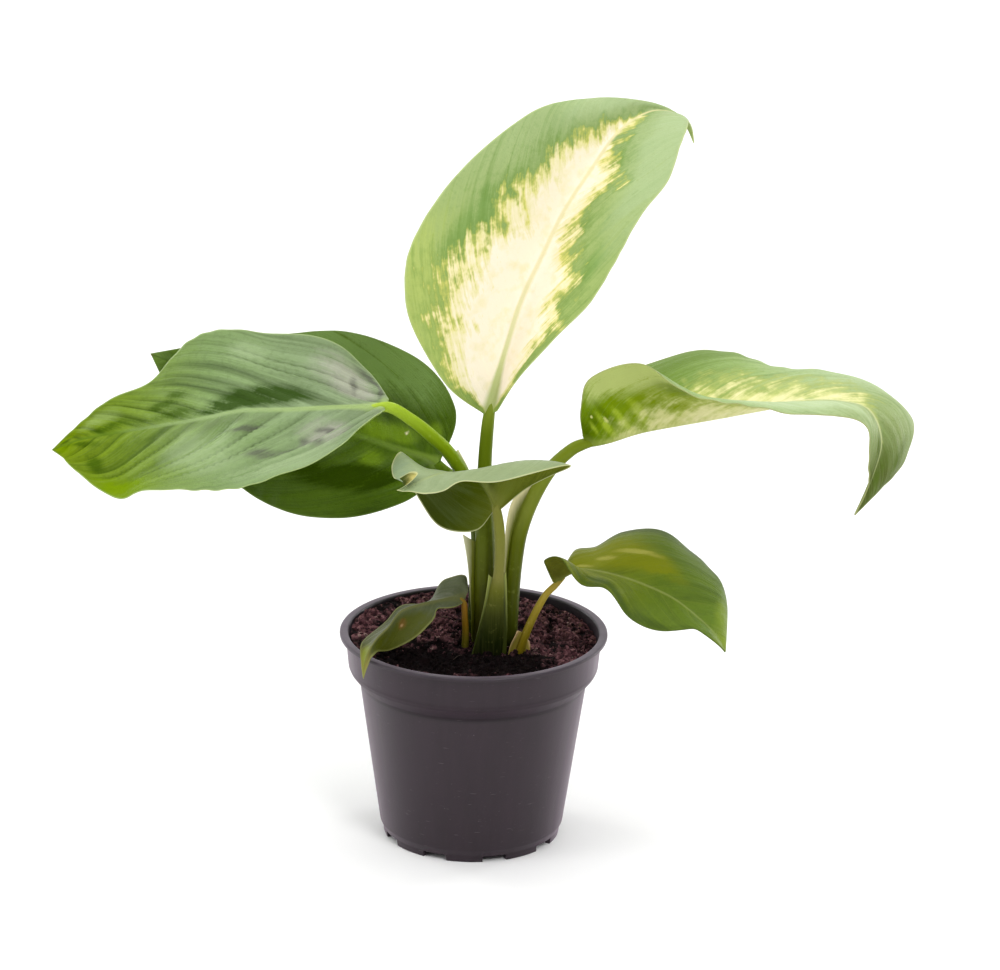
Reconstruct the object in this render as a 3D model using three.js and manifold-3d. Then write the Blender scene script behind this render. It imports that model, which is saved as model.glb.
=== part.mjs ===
import * as THREE from 'three';
import { mergeVertices } from 'three/addons/utils/BufferGeometryUtils.js';
import Module from 'manifold-3d';

// Young potted dieffenbachia in a round nursery pot. Millimetres, +Z up, the viewer at -Y,
// origin at the middle of the circle that the pot's feet stand on.

const wasm = await Module();
wasm.setup();

const CLEAR = 0.3;         // gap left between neighbouring pieces
const POT_SIDES = 48;      // segments round the pot and the compost
const BLADE = 0.8;         // leaf blade thickness

// Small vector helpers on [x, y, z] arrays.
const add = (a, b) => a.map((v, i) => v + b[i]);
const sub = (a, b) => a.map((v, i) => v - b[i]);
const mul = (a, k) => a.map((v) => v * k);
const dot = (a, b) => a[0] * b[0] + a[1] * b[1] + a[2] * b[2];
const cross = (a, b) => [a[1] * b[2] - a[2] * b[1], a[2] * b[0] - a[0] * b[2], a[0] * b[1] - a[1] * b[0]];
const unit = (a) => mul(a, 1 / (Math.hypot(...a) || 1));

// A smooth curve through evenly counted stations, t from 0 to 1.
function along(stations, t) {
  const last = stations.length - 1;
  const s = Math.min(Math.max(t * last, 0), last - 1e-9);
  const i = Math.floor(s);
  const f = s - i;
  const at = (k) => stations[Math.min(Math.max(k, 0), last)];
  const [a, b, c, d] = [at(i - 1), at(i), at(i + 1), at(i + 2)];
  return b.map((_, k) => 0.5 * (2 * b[k] + (c[k] - a[k]) * f
    + (2 * a[k] - 5 * b[k] + 4 * c[k] - d[k]) * f * f
    + (3 * b[k] - a[k] - 3 * c[k] + d[k]) * f * f * f));
}

function solid(vertices, triangles) {
  const mesh = new wasm.Mesh({
    numProp: 3,
    vertProperties: Float32Array.from(vertices.flat()),
    triVerts: Uint32Array.from(triangles.flat()),
  });
  mesh.merge();
  return new wasm.Manifold(mesh);
}

// A closed thin sheet from two grids of points, upper face and under face, split the same way.
// When the last row is a point its vertices are shared.
function sheet(upper, under, pointed) {
  const rows = upper.length;
  const cols = upper[0].length;
  const vertices = [];
  const number = (grid) => grid.map((row, i) => {
    if (pointed && i === rows - 1) {
      vertices.push(row[(cols - 1) / 2]);
      return row.map(() => vertices.length - 1);
    }
    return row.map((p) => vertices.push(p) - 1);
  });
  const top = number(upper);
  const low = number(under);
  const triangles = [];
  const face = (a, b, c) => {
    if (a !== b && b !== c && c !== a) triangles.push([a, b, c]);
  };
  for (let i = 0; i < rows - 1; i++) {
    for (let j = 0; j < cols - 1; j++) {
      face(top[i][j], top[i][j + 1], top[i + 1][j + 1]);
      face(top[i][j], top[i + 1][j + 1], top[i + 1][j]);
      face(low[i][j], low[i + 1][j + 1], low[i][j + 1]);
      face(low[i][j], low[i + 1][j], low[i + 1][j + 1]);
    }
  }
  const edge = [];
  for (let j = 0; j < cols - 1; j++) edge.push([0, j]);
  for (let i = 0; i < rows - 1; i++) edge.push([i, cols - 1]);
  for (let j = cols - 1; j > 0; j--) edge.push([rows - 1, j]);
  for (let i = rows - 1; i > 0; i--) edge.push([i, 0]);
  edge.forEach(([i, j], k) => {
    const [m, n] = edge[(k + 1) % edge.length];
    face(top[i][j], low[i][j], low[m][n]);
    face(top[i][j], low[m][n], top[m][n]);
  });
  const body = solid(vertices, triangles);
  return body.volume() < 0 ? solid(vertices, triangles.map(([a, b, c]) => [a, c, b])) : body;
}

// Directions square to a grid of points.
function squareTo(grid) {
  const rows = grid.length;
  const cols = grid[0].length;
  return grid.map((row, i) => row.map((_, j) => {
    const k = Math.min(i, rows - 2);
    const along1 = sub(grid[Math.min(k + 1, rows - 1)][j], grid[Math.max(k - 1, 0)][j]);
    const across = sub(grid[k][Math.min(j + 1, cols - 1)], grid[k][Math.max(j - 1, 0)]);
    return unit(cross(across, along1));
  }));
}

// |v| from 0 to 1 with its corner at zero rounded off, so that the fold at the midrib is soft.
const rounded = (v) => (Math.hypot(v, 0.16) - 0.16) / (Math.hypot(1, 0.16) - 0.16);

// Leaf blade. Each station holds the midrib and the two margins. Each half is the straight line
// from midrib to margin, arched by arch * half width, and the margin is waved. The midrib swells
// the under face, the one that looks down on the whole.
function blade({ stations, rows, arch, wave, waves, rib }) {
  const across = [-1, -0.82, -0.6, -0.36, -0.15, -0.05, 0, 0.05, 0.15, 0.36, 0.6, 0.82, 1];
  const centre = [];
  const line = (t) => [0, 1, 2].map((k) => along(stations.map((s) => s[k]), t));
  for (let i = 0; i <= rows; i++) {
    const [mid, left, right] = line(i / rows);
    const spread = mul(sub(right, left), 0.5);
    const lift = sub(mul(add(left, right), 0.5), mid);
    centre.push(across.map((v) => add(mid, add(mul(spread, v), mul(lift, rounded(v))))));
  }
  const normal = squareTo(centre);
  const bent = centre.map((row, i) => row.map((p, j) => {
    const v = rounded(across[j]);
    const side = across[j] < 0 ? 0 : 1;
    const half = Math.hypot(...sub(row[side ? row.length - 1 : 0], row[6]));
    const fade = Math.sin(Math.PI * Math.min(i / rows, 0.97));
    const ripple = wave * fade * v * v * Math.sin(waves * Math.PI * 2 * (i / rows) + side * 2.1);
    return add(p, mul(normal[i][j], arch[side] * half * 4 * v * (1 - v) + ripple));
  }));
  // Narrow rows share one direction, so that the two faces can't cross near the ends.
  const out = squareTo(bent).map((row, i) => {
    const reach = Math.hypot(...sub(bent[i][0], bent[i][12])) / 2;
    const share = Math.min(1, Math.max(0, 1.3 - reach / 12));
    const mean = unit(row.reduce((a, b) => add(a, b)));
    return row.map((n) => unit(add(mul(n, 1 - share), mul(mean, share))));
  });
  const sky = Math.sign(out.flat().reduce((sum, n) => sum + n[2], 0)) || 1;
  const upper = bent.map((row, i) => row.map((p, j) => add(p, mul(out[i][j], sky * BLADE / 2))));
  const under = bent.map((row, i) => row.map((p, j) => {
    const half = Math.hypot(...sub(row[j < 6 ? 0 : row.length - 1], row[6]));
    const away = Math.abs(across[j]) * half;
    const swell = rib * (1 - i / rows) * Math.min(1, half / 8) * Math.exp(-((away / 1.7) ** 2));
    return add(p, mul(out[i][j], -sky * (BLADE / 2 + swell)));
  }));
  return sheet(upper, under, true);
}

// Leaf stalk. An oval is carried along the path: [x, y, z, half width, half depth].
function stalk(path, rings, sides = 10) {
  const vertices = [];
  const triangles = [];
  for (let i = 0; i <= rings; i++) {
    const t = i / rings;
    const here = along(path, t);
    const ahead = along(path, Math.min(t + 0.01, 1));
    const behind = along(path, Math.max(t - 0.01, 0));
    const dir = unit(sub(ahead.slice(0, 3), behind.slice(0, 3)));
    const deep = unit(sub([0, 1, 0], mul(dir, dir[1])));
    const wide = cross(deep, dir);
    for (let j = 0; j < sides; j++) {
      const a = (2 * Math.PI * (j + 0.5)) / sides;
      vertices.push(add(here.slice(0, 3), add(mul(wide, here[3] * Math.cos(a)), mul(deep, here[4] * Math.sin(a)))));
    }
  }
  for (let i = 0; i < rings; i++) {
    for (let j = 0; j < sides; j++) {
      const [a, b] = [i * sides + j, i * sides + ((j + 1) % sides)];
      triangles.push([a, b, b + sides], [a, b + sides, a + sides]);
    }
  }
  for (let j = 1; j < sides - 1; j++) {
    triangles.push([0, j + 1, j]);
    const e = rings * sides;
    triangles.push([e, e + j, e + j + 1]);
  }
  const body = solid(vertices, triangles);
  return body.volume() < 0 ? solid(vertices, triangles.map(([a, b, c]) => [a, c, b])) : body;
}

// Thin skin of a sheath: a strip between an inner line, buried in the stalk, and a free edge.
function skin(inner, free, rows = 6, thick = 0.7) {
  const grid = [];
  for (let i = 0; i <= rows; i++) {
    const [a, b] = [along(inner, i / rows), along(free, i / rows)];
    grid.push([a, mul(add(a, b), 0.5), b]);
  }
  const out = squareTo(grid);
  const shift = (k) => grid.map((row, i) => row.map((p, j) => add(p, mul(out[i][j], k * thick / 2))));
  return sheet(shift(1), shift(-1), false);
}

// A ring or a plug turned about Z from a closed outline of [radius, height].
function turned(outline) {
  const points = outline.map(([r, z]) => new THREE.Vector2(r, z));
  const shape = new THREE.LatheGeometry(points, POT_SIDES).rotateX(Math.PI / 2);
  shape.deleteAttribute('normal');
  shape.deleteAttribute('uv');
  const merged = mergeVertices(shape, 1e-4);
  const p = merged.attributes.position;
  const q = merged.index.array;
  const vertices = [];
  for (let i = 0; i < p.count; i++) vertices.push([p.getX(i), p.getY(i), p.getZ(i)]);
  const triangles = [];
  for (let i = 0; i < q.length; i += 3) {
    const t = [q[i], q[i + 1], q[i + 2]];
    if (new Set(t).size === 3) triangles.push(t);
  }
  const body = solid(vertices, triangles);
  return body.volume() < 0 ? solid(vertices, triangles.map(([a, b, c]) => [a, c, b])) : body;
}

// Moulded pot: 90 mm lip, straight collar, rounded step, tapered body, foot ring with notches.
function makePot() {
  let pot = turned([
    [0, 2.4], [27.8, 2.4], [28, 0], [29.7, 0], [30, 2.4], [31, 4.6],
    [38.2, 54.4], [38.9, 56], [40.6, 57.2], [41.6, 58.4], [42, 60], [43, 70.4],
    [45, 70.6], [45, 71.5], [44.6, 71.8], [42.4, 71.8], [42, 71.3],
    [40.9, 60], [40.4, 59], [38.8, 57.9], [37.8, 56.9], [37.1, 54.8],
    [29.8, 4.6], [29.2, 3.6], [0, 3.6],
  ]);
  for (let k = 0; k < 9; k++) {
    const turn = -90 - 24 + 40 * k;
    const notch = wasm.Manifold.cube([6, 8, 4.4], true).translate([29, 0, 0]).rotate([0, 0, turn]);
    const drain = wasm.Manifold.cylinder(8, 2.6, 2.6, 12, true).translate([21, 0, 3]).rotate([0, 0, turn]);
    pot = pot.subtract(notch).subtract(drain);
  }
  return pot;
}

// Compost plug. The top is a lumpy function: a low hollow in front on the left, a bank behind
// it on the right, and the small lumps of the crumbs.
function compostHeight(x, y) {
  const hollow = 4.5 * Math.exp(-(((x + 16) / 15) ** 2) - ((y + 19) / 11) ** 2);
  const bank = 1.2 * Math.exp(-(((x - 20) / 16) ** 2) - ((y + 22) / 14) ** 2);
  const lumps = 0.55 * Math.sin(x * 0.71 + 1.3 * Math.sin(y * 0.43)) * Math.sin(y * 0.83 + 0.9 * Math.sin(x * 0.37));
  const slope = (y * 0.3 - x * 0.5) * 0.07;
  return 69.4 + slope - hollow + bank + lumps;
}

function makeCompost() {
  const rings = [0, 7, 14, 21, 28, 35, 41.2];
  const side = [[40.5, 60.2], [39.8, 59.2], [37.8, 58.1], [36.7, 54.8], [29.4, 4.9], [29, 3.9], [0, 3.9]];
  const vertices = [[0, 0, compostHeight(0, 0)]];
  const ringAt = [];
  const ring = (r, height) => {
    const first = vertices.length;
    for (let j = 0; j < POT_SIDES; j++) {
      const a = (2 * Math.PI * j) / POT_SIDES;
      const [x, y] = [r * Math.sin(a), r * Math.cos(a)];
      vertices.push([x, y, height === undefined ? compostHeight(x, y) : height]);
    }
    ringAt.push(first);
  };
  rings.slice(1).forEach((r) => ring(r));
  side.slice(0, -1).forEach(([r, z]) => ring(r, z));
  const triangles = [];
  const next = (j) => (j + 1) % POT_SIDES;
  for (let j = 0; j < POT_SIDES; j++) triangles.push([0, ringAt[0] + j, ringAt[0] + next(j)]);
  for (let k = 0; k < ringAt.length - 1; k++) {
    for (let j = 0; j < POT_SIDES; j++) {
      const [a, b, c, d] = [ringAt[k] + j, ringAt[k] + next(j), ringAt[k + 1] + j, ringAt[k + 1] + next(j)];
      triangles.push([a, c, d], [a, d, b]);
    }
  }
  const foot = vertices.push([0, 0, 3.9]) - 1;
  const end = ringAt[ringAt.length - 1];
  for (let j = 0; j < POT_SIDES; j++) triangles.push([foot, end + next(j), end + j]);
  const body = solid(vertices, triangles);
  return body.volume() < 0 ? solid(vertices, triangles.map(([a, b, c]) => [a, c, b])) : body;
}

// The seven leaves, from the top one down. Stations in mm: [midrib, left margin, right margin].
const leaves = {
  leaf_top: {
    colour: 0xc9d79a,
    blade: {
      rows: 16, arch: [0.07, 0.07], wave: 0.5, waves: 4, rib: 1.6,
      stations: [
        [[4, 0, 148], [2, -1, 149], [7, -1, 150]],
        [[6.6, 1, 161], [-10, -9, 161], [14, -5, 163]],
        [[9.6, 3, 172], [-21, -14, 182], [24, -9, 176]],
        [[14, 6, 186], [-24, -14, 197], [36, -9, 189]],
        [[20.6, 10, 200], [-22, -10, 209], [44, -7, 203]],
        [[27.6, 15, 214], [-12, -4, 225], [52, -2, 216]],
        [[36, 21, 226], [1, 5, 238], [61, 5, 227]],
        [[45, 29, 237], [19, 18, 248], [65, 14, 236]],
        [[55, 37, 242], [37, 33, 248], [68, 24, 240]],
        [[63, 40, 241.5], [55, 40, 245], [68.5, 31, 241]],
        [[68.5, 41, 237.5], [66, 42, 239.5], [70, 38, 237]],
        [[71, 40, 231], [71, 40, 231], [71, 40, 231]],
      ],
    },
    stalkColour: 0x5d6a26,
    path: [[4, -5, 52, 3.8, 3.6], [4, -5, 66, 3.8, 3.7], [3.6, -5, 85, 3.6, 3.6], [3.4, -4.2, 104, 3.3, 3.3],
      [3, -3, 119, 2.6, 2.6], [3, -2, 133, 2.3, 2.3], [4, -0.4, 147, 2, 2]],
    skins: [[[[3, -5, 70], [2.5, -5, 85], [2, -4.5, 97], [1.5, -4, 104]],
      [[-0.4, -6.5, 70], [-1.3, -7, 85], [-2.2, -6.5, 97], [-4, -5.5, 108]]]],
  },
  leaf_left: {
    colour: 0x8fa86a,
    blade: {
      rows: 20, arch: [0.06, 0.08], wave: 1.1, waves: 4, rib: 1.6,
      stations: [
        [[-30, -5, 153], [-29, -3, 154], [-30, -8, 152]],
        [[-36, -5, 152], [-36, 14, 158], [-34, -18, 152]],
        [[-48, -4, 151], [-50, 22, 166], [-44, -26, 146]],
        [[-63, -1, 149], [-69, 28, 167], [-57, -31, 139]],
        [[-78, 3, 147], [-85, 32, 166], [-73, -32, 133]],
        [[-93, 8, 142], [-99, 34, 160], [-91, -27, 130.4]],
        [[-109, 14, 137], [-112, 32, 147], [-107.4, -18, 125.4]],
        [[-122, 19, 133], [-125, 31, 140], [-119, -9, 120.6]],
        [[-133, 24, 129], [-134, 30, 133.6], [-133.4, 8, 123.4]],
        [[-139.9, 27, 125.6], [-139.6, 29, 127.6], [-139, 21, 123.6]],
        [[-143.4, 28, 124], [-143.4, 28, 124], [-143.4, 28, 124]],
      ],
    },
    stalkColour: 0x7d9440,
    path: [[0, 4, 52, 2.6, 2.4], [0, 4, 66, 2.6, 2.4], [1, 4.5, 90, 2.6, 2.4], [1, 4, 106, 2.5, 2.4],
      [-1.5, 1.5, 121, 2.4, 2.3], [-8, -2, 134, 2.3, 2.2], [-15, -4, 142, 2.2, 2.1], [-22, -5, 148, 2, 2],
      [-29, -5.3, 152, 1.8, 1.8]],
    skins: [[[[-2, 1, 122], [-5, -0.6, 129], [-8.4, -2, 134]], [[-0.2, 1.4, 124], [-2.4, 0, 130.4], [-5, -1.4, 137]]]],
  },
  leaf_back_left: {
    colour: 0x3f6d1e,
    blade: {
      rows: 12, arch: [0.06, 0.06], wave: 0.8, waves: 3, rib: 1.5,
      stations: [
        [[-13, 11, 127], [-11.9, 11, 128.3], [-13, 11, 125.2]],
        [[-17, 15, 128], [-7, 14, 141], [-20, 13, 115]],
        [[-26, 20, 129], [-10, 24, 149], [-32, 14, 109]],
        [[-38, 26, 131], [-22, 36, 157], [-46, 17, 105]],
        [[-55, 32, 135], [-44, 42, 163], [-63, 22, 105]],
        [[-73, 37, 141], [-68, 44, 161], [-79, 26, 112]],
        [[-92, 41, 147], [-89, 44, 158], [-96, 36, 126]],
        [[-111, 43, 154], [-111, 43, 154], [-111, 43, 154]],
      ],
    },
    stalkColour: 0x6f9a20,
    path: [[5, 8.6, 52, 2.4, 2.2], [5, 9, 66, 2.4, 2.2], [4, 10.4, 84, 2.4, 2.2], [2, 11.4, 101, 2.3, 2.2],
      [-3, 11.4, 114, 2.2, 2.1], [-7.8, 11.2, 121.8, 2, 2], [-11.7, 11, 125.4, 1.8, 1.7]],
    skins: [],
  },
  leaf_front: {
    colour: 0x8aa573,
    blade: {
      rows: 16, arch: [0.08, 0.1], wave: 0.4, waves: 4, rib: 1.4,
      stations: [
        [[7, -12, 119.2], [8.8, -13, 119.8], [5.6, -10.4, 117.2]],
        [[6, -13, 124], [17, -13, 127], [1, -9, 111]],
        [[4, -14, 128], [26, -18, 134], [-6, -6, 109]],
        [[1, -18, 133], [31, -24, 139], [-13, -2, 110]],
        [[-4, -22, 135], [19, -31, 138.4], [-18, 2, 117]],
        [[-10, -25, 136], [7, -35, 137.2], [-22, 2, 125]],
        [[-15, -28, 135.4], [-4, -36, 137], [-25, -3, 135.5]],
        [[-20.6, -30.4, 134], [-13, -36, 133.4], [-27.8, -14, 134.2]],
        [[-25.2, -33, 133], [-25.2, -33, 133], [-25.2, -33, 133]],
      ],
    },
    stalkColour: 0x9aa062,
    path: [[5.4, -12.6, 52, 4.6, 2.2], [5.4, -12.6, 66, 4.6, 2.2], [7, -12.9, 81, 3.6, 2.1], [7.8, -13, 92, 2.6, 2],
      [8.2, -13, 97, 1.9, 1.8], [8.4, -13, 106, 1.8, 1.7], [8, -12.4, 113, 1.8, 1.6], [7.3, -12, 118, 1.6, 1.5]],
    skins: [[[[6, -13, 82], [7, -13, 90], [7.6, -13, 94]], [[3.4, -14, 82], [4.2, -14.2, 91], [5, -14.2, 97.5]]],
      [[[8, -13, 82], [8.6, -13, 90], [8.8, -13, 94]], [[11, -13.4, 82], [10.8, -13.8, 91], [10.6, -13.8, 98]]]],
  },
  leaf_right: {
    colour: 0x7c9440,
    blade: {
      rows: 18, arch: [0.09, 0.07], wave: 0.8, waves: 4, rib: 1.6,
      stations: [
        [[36, -6, 141], [37, -4, 143], [35, -8, 144]],
        [[43, -8, 143], [43, 14, 155], [34, -20, 157]],
        [[54, -9, 147], [56, 20, 160], [37, -27, 170]],
        [[67, -10, 150], [70, 24, 163], [53, -31, 176]],
        [[81, -11, 153], [86, 24, 163], [69, -34, 168]],
        [[94, -12, 156], [101, 21, 160], [85, -36, 164]],
        [[106, -14, 159], [118, 16, 159], [101, -36, 162]],
        [[119, -17, 160], [135, 8, 156], [116, -36, 162]],
        [[128, -20, 158], [144, -4, 150], [126, -33, 156]],
        [[132, -24, 149], [140, -16, 139], [128, -30, 143]],
        [[129, -27, 137], [132, -25, 132], [128, -29, 135]],
        [[124, -29, 125], [124, -29, 125], [124, -29, 125]],
      ],
    },
    stalkColour: 0x6e7f2a,
    path: [[12, -7, 52, 2.5, 2.5], [12, -7, 66, 2.5, 2.5], [12.4, -6.6, 85, 2.6, 2.5], [13.4, -6, 99, 2.6, 2.4],
      [15.1, -6, 110, 2.6, 2.4], [18.9, -6, 121, 2.5, 2.4], [24.4, -6, 131, 2.3, 2.2], [30.6, -6, 137.6, 2.1, 2.1],
      [35.3, -6.2, 140.4, 1.9, 1.9]],
    skins: [[[[13, -6, 104], [15, -6, 111], [18, -6, 119], [20, -6, 123]],
      [[10.6, -8.4, 104], [12, -8.6, 113], [14.4, -8.4, 121], [18.6, -8, 126.6]]]],
  },
  leaf_low_right: {
    colour: 0x7f8f3a,
    blade: {
      rows: 16, arch: [0.09, 0.08], wave: 0.7, waves: 4, rib: 1.2,
      stations: [
        [[27, -14, 94], [28, -12, 95], [26, -17, 97]],
        [[29, -14, 97], [30, -8, 97], [23, -19, 104]],
        [[33, -14, 99], [33, -2, 100], [28, -23, 106]],
        [[40, -15, 99], [41, 3, 101], [35, -26, 99]],
        [[48, -17, 98], [49, 6, 106], [43, -29, 98]],
        [[57, -20, 96], [61, 6, 106], [51, -31, 89]],
        [[66, -24, 93], [72, 3, 101], [62, -33, 85]],
        [[74, -28, 88], [81, -6, 94], [73, -34, 86]],
        [[79, -31, 84], [84, -17, 88], [78, -34, 83]],
        [[83, -33, 78], [83, -33, 78], [83, -33, 78]],
      ],
    },
    stalkColour: 0xa8933a,
    path: [[15, -13, 52, 2, 1.8], [15, -13, 66, 2, 1.8], [16.2, -13, 72, 1.8, 1.7], [18.6, -13, 79, 1.6, 1.5],
      [21.6, -13.6, 86, 1.5, 1.5], [24, -14, 90.4, 1.4, 1.4], [26.8, -14, 93.4, 1.3, 1.3]],
    skins: [[[[15.6, -13, 69.5], [16, -13, 72], [16.8, -13, 76]], [[12.8, -14.6, 69.5], [13.4, -14.8, 73], [14.8, -14.6, 77.5]]]],
  },
  leaf_low_left: {
    colour: 0x6f8350,
    blade: {
      rows: 13, arch: [0.08, 0.08], wave: 0.5, waves: 3, rib: 0.9,
      stations: [
        [[-3, -8, 86], [-2, -6, 88], [-4, -10, 85]],
        [[-7, -10, 87], [-3, -2, 92], [-7, -14, 85]],
        [[-12, -13, 87], [-9, 0, 90], [-12, -18, 86]],
        [[-18, -17, 87], [-15, -5, 85], [-14, -20, 82]],
        [[-24, -21, 86], [-23, -10, 84], [-20, -22, 77]],
        [[-28, -25, 82], [-28, -15, 81], [-27, -26, 74]],
        [[-32, -29, 79], [-36, -21, 77], [-32, -30, 75]],
        [[-35, -32, 74], [-37, -30, 74], [-34, -33, 73]],
        [[-36, -34, 67], [-36, -34, 67], [-36, -34, 67]],
      ],
    },
    stalkColour: 0xa06a20,
    path: [[-3, -8.4, 52, 1.4, 1.4], [-3, -8.4, 66, 1.4, 1.4], [-3, -8.6, 74, 1.4, 1.3], [-3, -8.8, 80, 1.2, 1.2],
      [-3, -8.4, 84.4, 1.1, 1.1]],
    skins: [],
  },
};

const group = new THREE.Group();
group.name = 'potted_dieffenbachia';

function place(name, body, colour, roughness) {
  const mesh = body.getMesh();
  const shape = new THREE.BufferGeometry();
  shape.setAttribute('position', new THREE.BufferAttribute(new Float32Array(mesh.vertProperties), 3));
  shape.setIndex(new THREE.BufferAttribute(new Uint32Array(mesh.triVerts), 1));
  shape.computeVertexNormals();
  const piece = new THREE.Mesh(shape, new THREE.MeshStandardMaterial({ color: colour, roughness, metalness: 0 }));
  piece.name = name;
  group.add(piece);
}

const rings = (path) => 2 * (path.length - 1) + 2;
let compost = makeCompost();
const stalks = {};
for (const [name, leaf] of Object.entries(leaves)) {
  let body = stalk(leaf.path, rings(leaf.path));
  for (const [inner, free] of leaf.skins) body = body.add(skin(inner, free));
  stalks[name] = body;
  const socket = leaf.path.map(([x, y, z, a, b]) => [x, y, z, a + CLEAR + 0.1, b + CLEAR + 0.1]);
  socket[0] = [socket[0][0], socket[0][1], socket[0][2] - CLEAR, socket[0][3], socket[0][4]];
  compost = compost.subtract(stalk(socket, rings(leaf.path)));
}

place('pot', makePot(), 0x433d40, 0.5);
place('compost', compost, 0x382a2a, 0.95);
for (const [name, leaf] of Object.entries(leaves)) {
  place(name + '_blade', blade(leaf.blade), leaf.colour, 0.45);
  place(name + '_stalk', stalks[name], leaf.stalkColour, 0.5);
}

export default group;
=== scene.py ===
import math
from functools import partial

import bpy
import numpy as np
from mathutils import Matrix, Vector


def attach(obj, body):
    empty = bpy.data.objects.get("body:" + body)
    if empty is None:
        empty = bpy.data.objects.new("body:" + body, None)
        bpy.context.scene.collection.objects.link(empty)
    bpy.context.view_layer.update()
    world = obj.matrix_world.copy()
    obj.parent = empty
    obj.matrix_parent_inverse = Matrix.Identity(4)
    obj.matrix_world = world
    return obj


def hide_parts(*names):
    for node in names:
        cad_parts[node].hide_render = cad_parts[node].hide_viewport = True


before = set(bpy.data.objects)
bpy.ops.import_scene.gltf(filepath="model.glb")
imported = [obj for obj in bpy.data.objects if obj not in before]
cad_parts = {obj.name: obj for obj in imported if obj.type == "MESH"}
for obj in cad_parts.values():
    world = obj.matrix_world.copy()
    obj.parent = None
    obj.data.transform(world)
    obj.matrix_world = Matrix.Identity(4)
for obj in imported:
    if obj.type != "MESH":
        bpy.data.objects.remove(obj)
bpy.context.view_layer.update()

# A young potted dieffenbachia. Numbers for shapes are in millimetres, as in the part's own source,
# and each finished mesh is in metres.
MM = 0.001


# Small tools

def linear(code):
    """sRGB hex to linear RGBA: each channel c is c / 12.92 when dark, else ((c + 0.055) / 1.055) ^ 2.4."""
    channels = [int(code[k:k + 2], 16) / 255 for k in (1, 3, 5)]
    return (*[c / 12.92 if c <= 0.04045 else ((c + 0.055) / 1.055) ** 2.4 for c in channels], 1.0)


def along(stations, t):
    """Smooth curve through evenly counted stations, t from 0 to 1. Between two stations it is the cubic
    that leaves each one in the direction from the station before it to the station after it."""
    p = np.asarray(stations, float)
    last = len(p) - 1
    s = np.clip(np.asarray(t, float) * last, 0, last - 1e-9)
    i = s.astype(int)
    f = (s - i).reshape((-1,) + (1,) * (p.ndim - 1))
    a, b, c, d = (p[np.clip(i + k, 0, last)] for k in (-1, 0, 1, 2))
    square, cube = 2 * a - 5 * b + 4 * c - d, 3 * b - a - 3 * c + d
    return 0.5 * (2 * b + (c - a) * f + square * f ** 2 + cube * f ** 3)


def step(x, low, high):
    """0 below low, 1 above high, and the smooth cubic 3t^2 - 2t^3 between."""
    t = np.clip((x - low) / (high - low), 0, 1)
    return t * t * (3 - 2 * t)


def unit(v):
    """Each vector divided by its length."""
    return v / np.maximum(np.linalg.norm(v, axis=-1, keepdims=True), 1e-9)


def square_to(grid):
    """Unit normals of a grid of points: the cross product of its slopes across and along."""
    return unit(np.cross(np.gradient(grid, axis=1), np.gradient(grid, axis=0)))


def value_noise(x, y, size, seed):
    """Smooth random hills from -1 to 1: random heights on a square lattice of the given size, blended
    between the four nearest with the smooth cubic. The lattice has 256 cells each way, centred on 0."""
    cells = 256
    table = np.random.default_rng(seed).uniform(-1, 1, (cells + 1, cells + 1))
    a, b = x / size + cells / 2, y / size + cells / 2
    i, j = np.floor(a).astype(int) % cells, np.floor(b).astype(int) % cells
    p, q = step(a - np.floor(a), 0, 1), step(b - np.floor(b), 0, 1)
    low = table[i, j] * (1 - p) + table[i + 1, j] * p
    high = table[i, j + 1] * (1 - p) + table[i + 1, j + 1] * p
    return low * (1 - q) + high * q


def quads(rows, cols, first=0, closed=False, back=False):
    """Rows of four point numbers between neighbouring rows and columns of a grid numbered row by row."""
    i, j = np.meshgrid(np.arange(rows - 1), np.arange(cols if closed else cols - 1), indexing="ij")
    k = (j + 1) % cols
    made = np.stack([i * cols + j, i * cols + k, (i + 1) * cols + k, (i + 1) * cols + j], -1)
    made = made.reshape(-1, 4)
    return (made[:, ::-1] if back else made) + first


def border(rows, cols):
    """Point numbers round the edge of a grid numbered row by row."""
    n = np.arange(rows * cols).reshape(rows, cols)
    return np.concatenate([n[0, :-1], n[:-1, -1], n[-1, :0:-1], n[:0:-1, 0]])


def slab(upper, under):
    """Points and faces of the thin body between two grids of points: both grids, and the strip round
    their edge."""
    rows, cols = upper.shape[:2]
    count = rows * cols
    ring = border(rows, cols)
    ahead = np.roll(ring, -1)
    strip = np.stack([ring, ring + count, ahead + count, ahead], -1)
    faces = np.concatenate([quads(rows, cols), quads(rows, cols, count, back=True), strip])
    return np.concatenate([upper.reshape(-1, 3), under.reshape(-1, 3)]), [faces]


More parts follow.
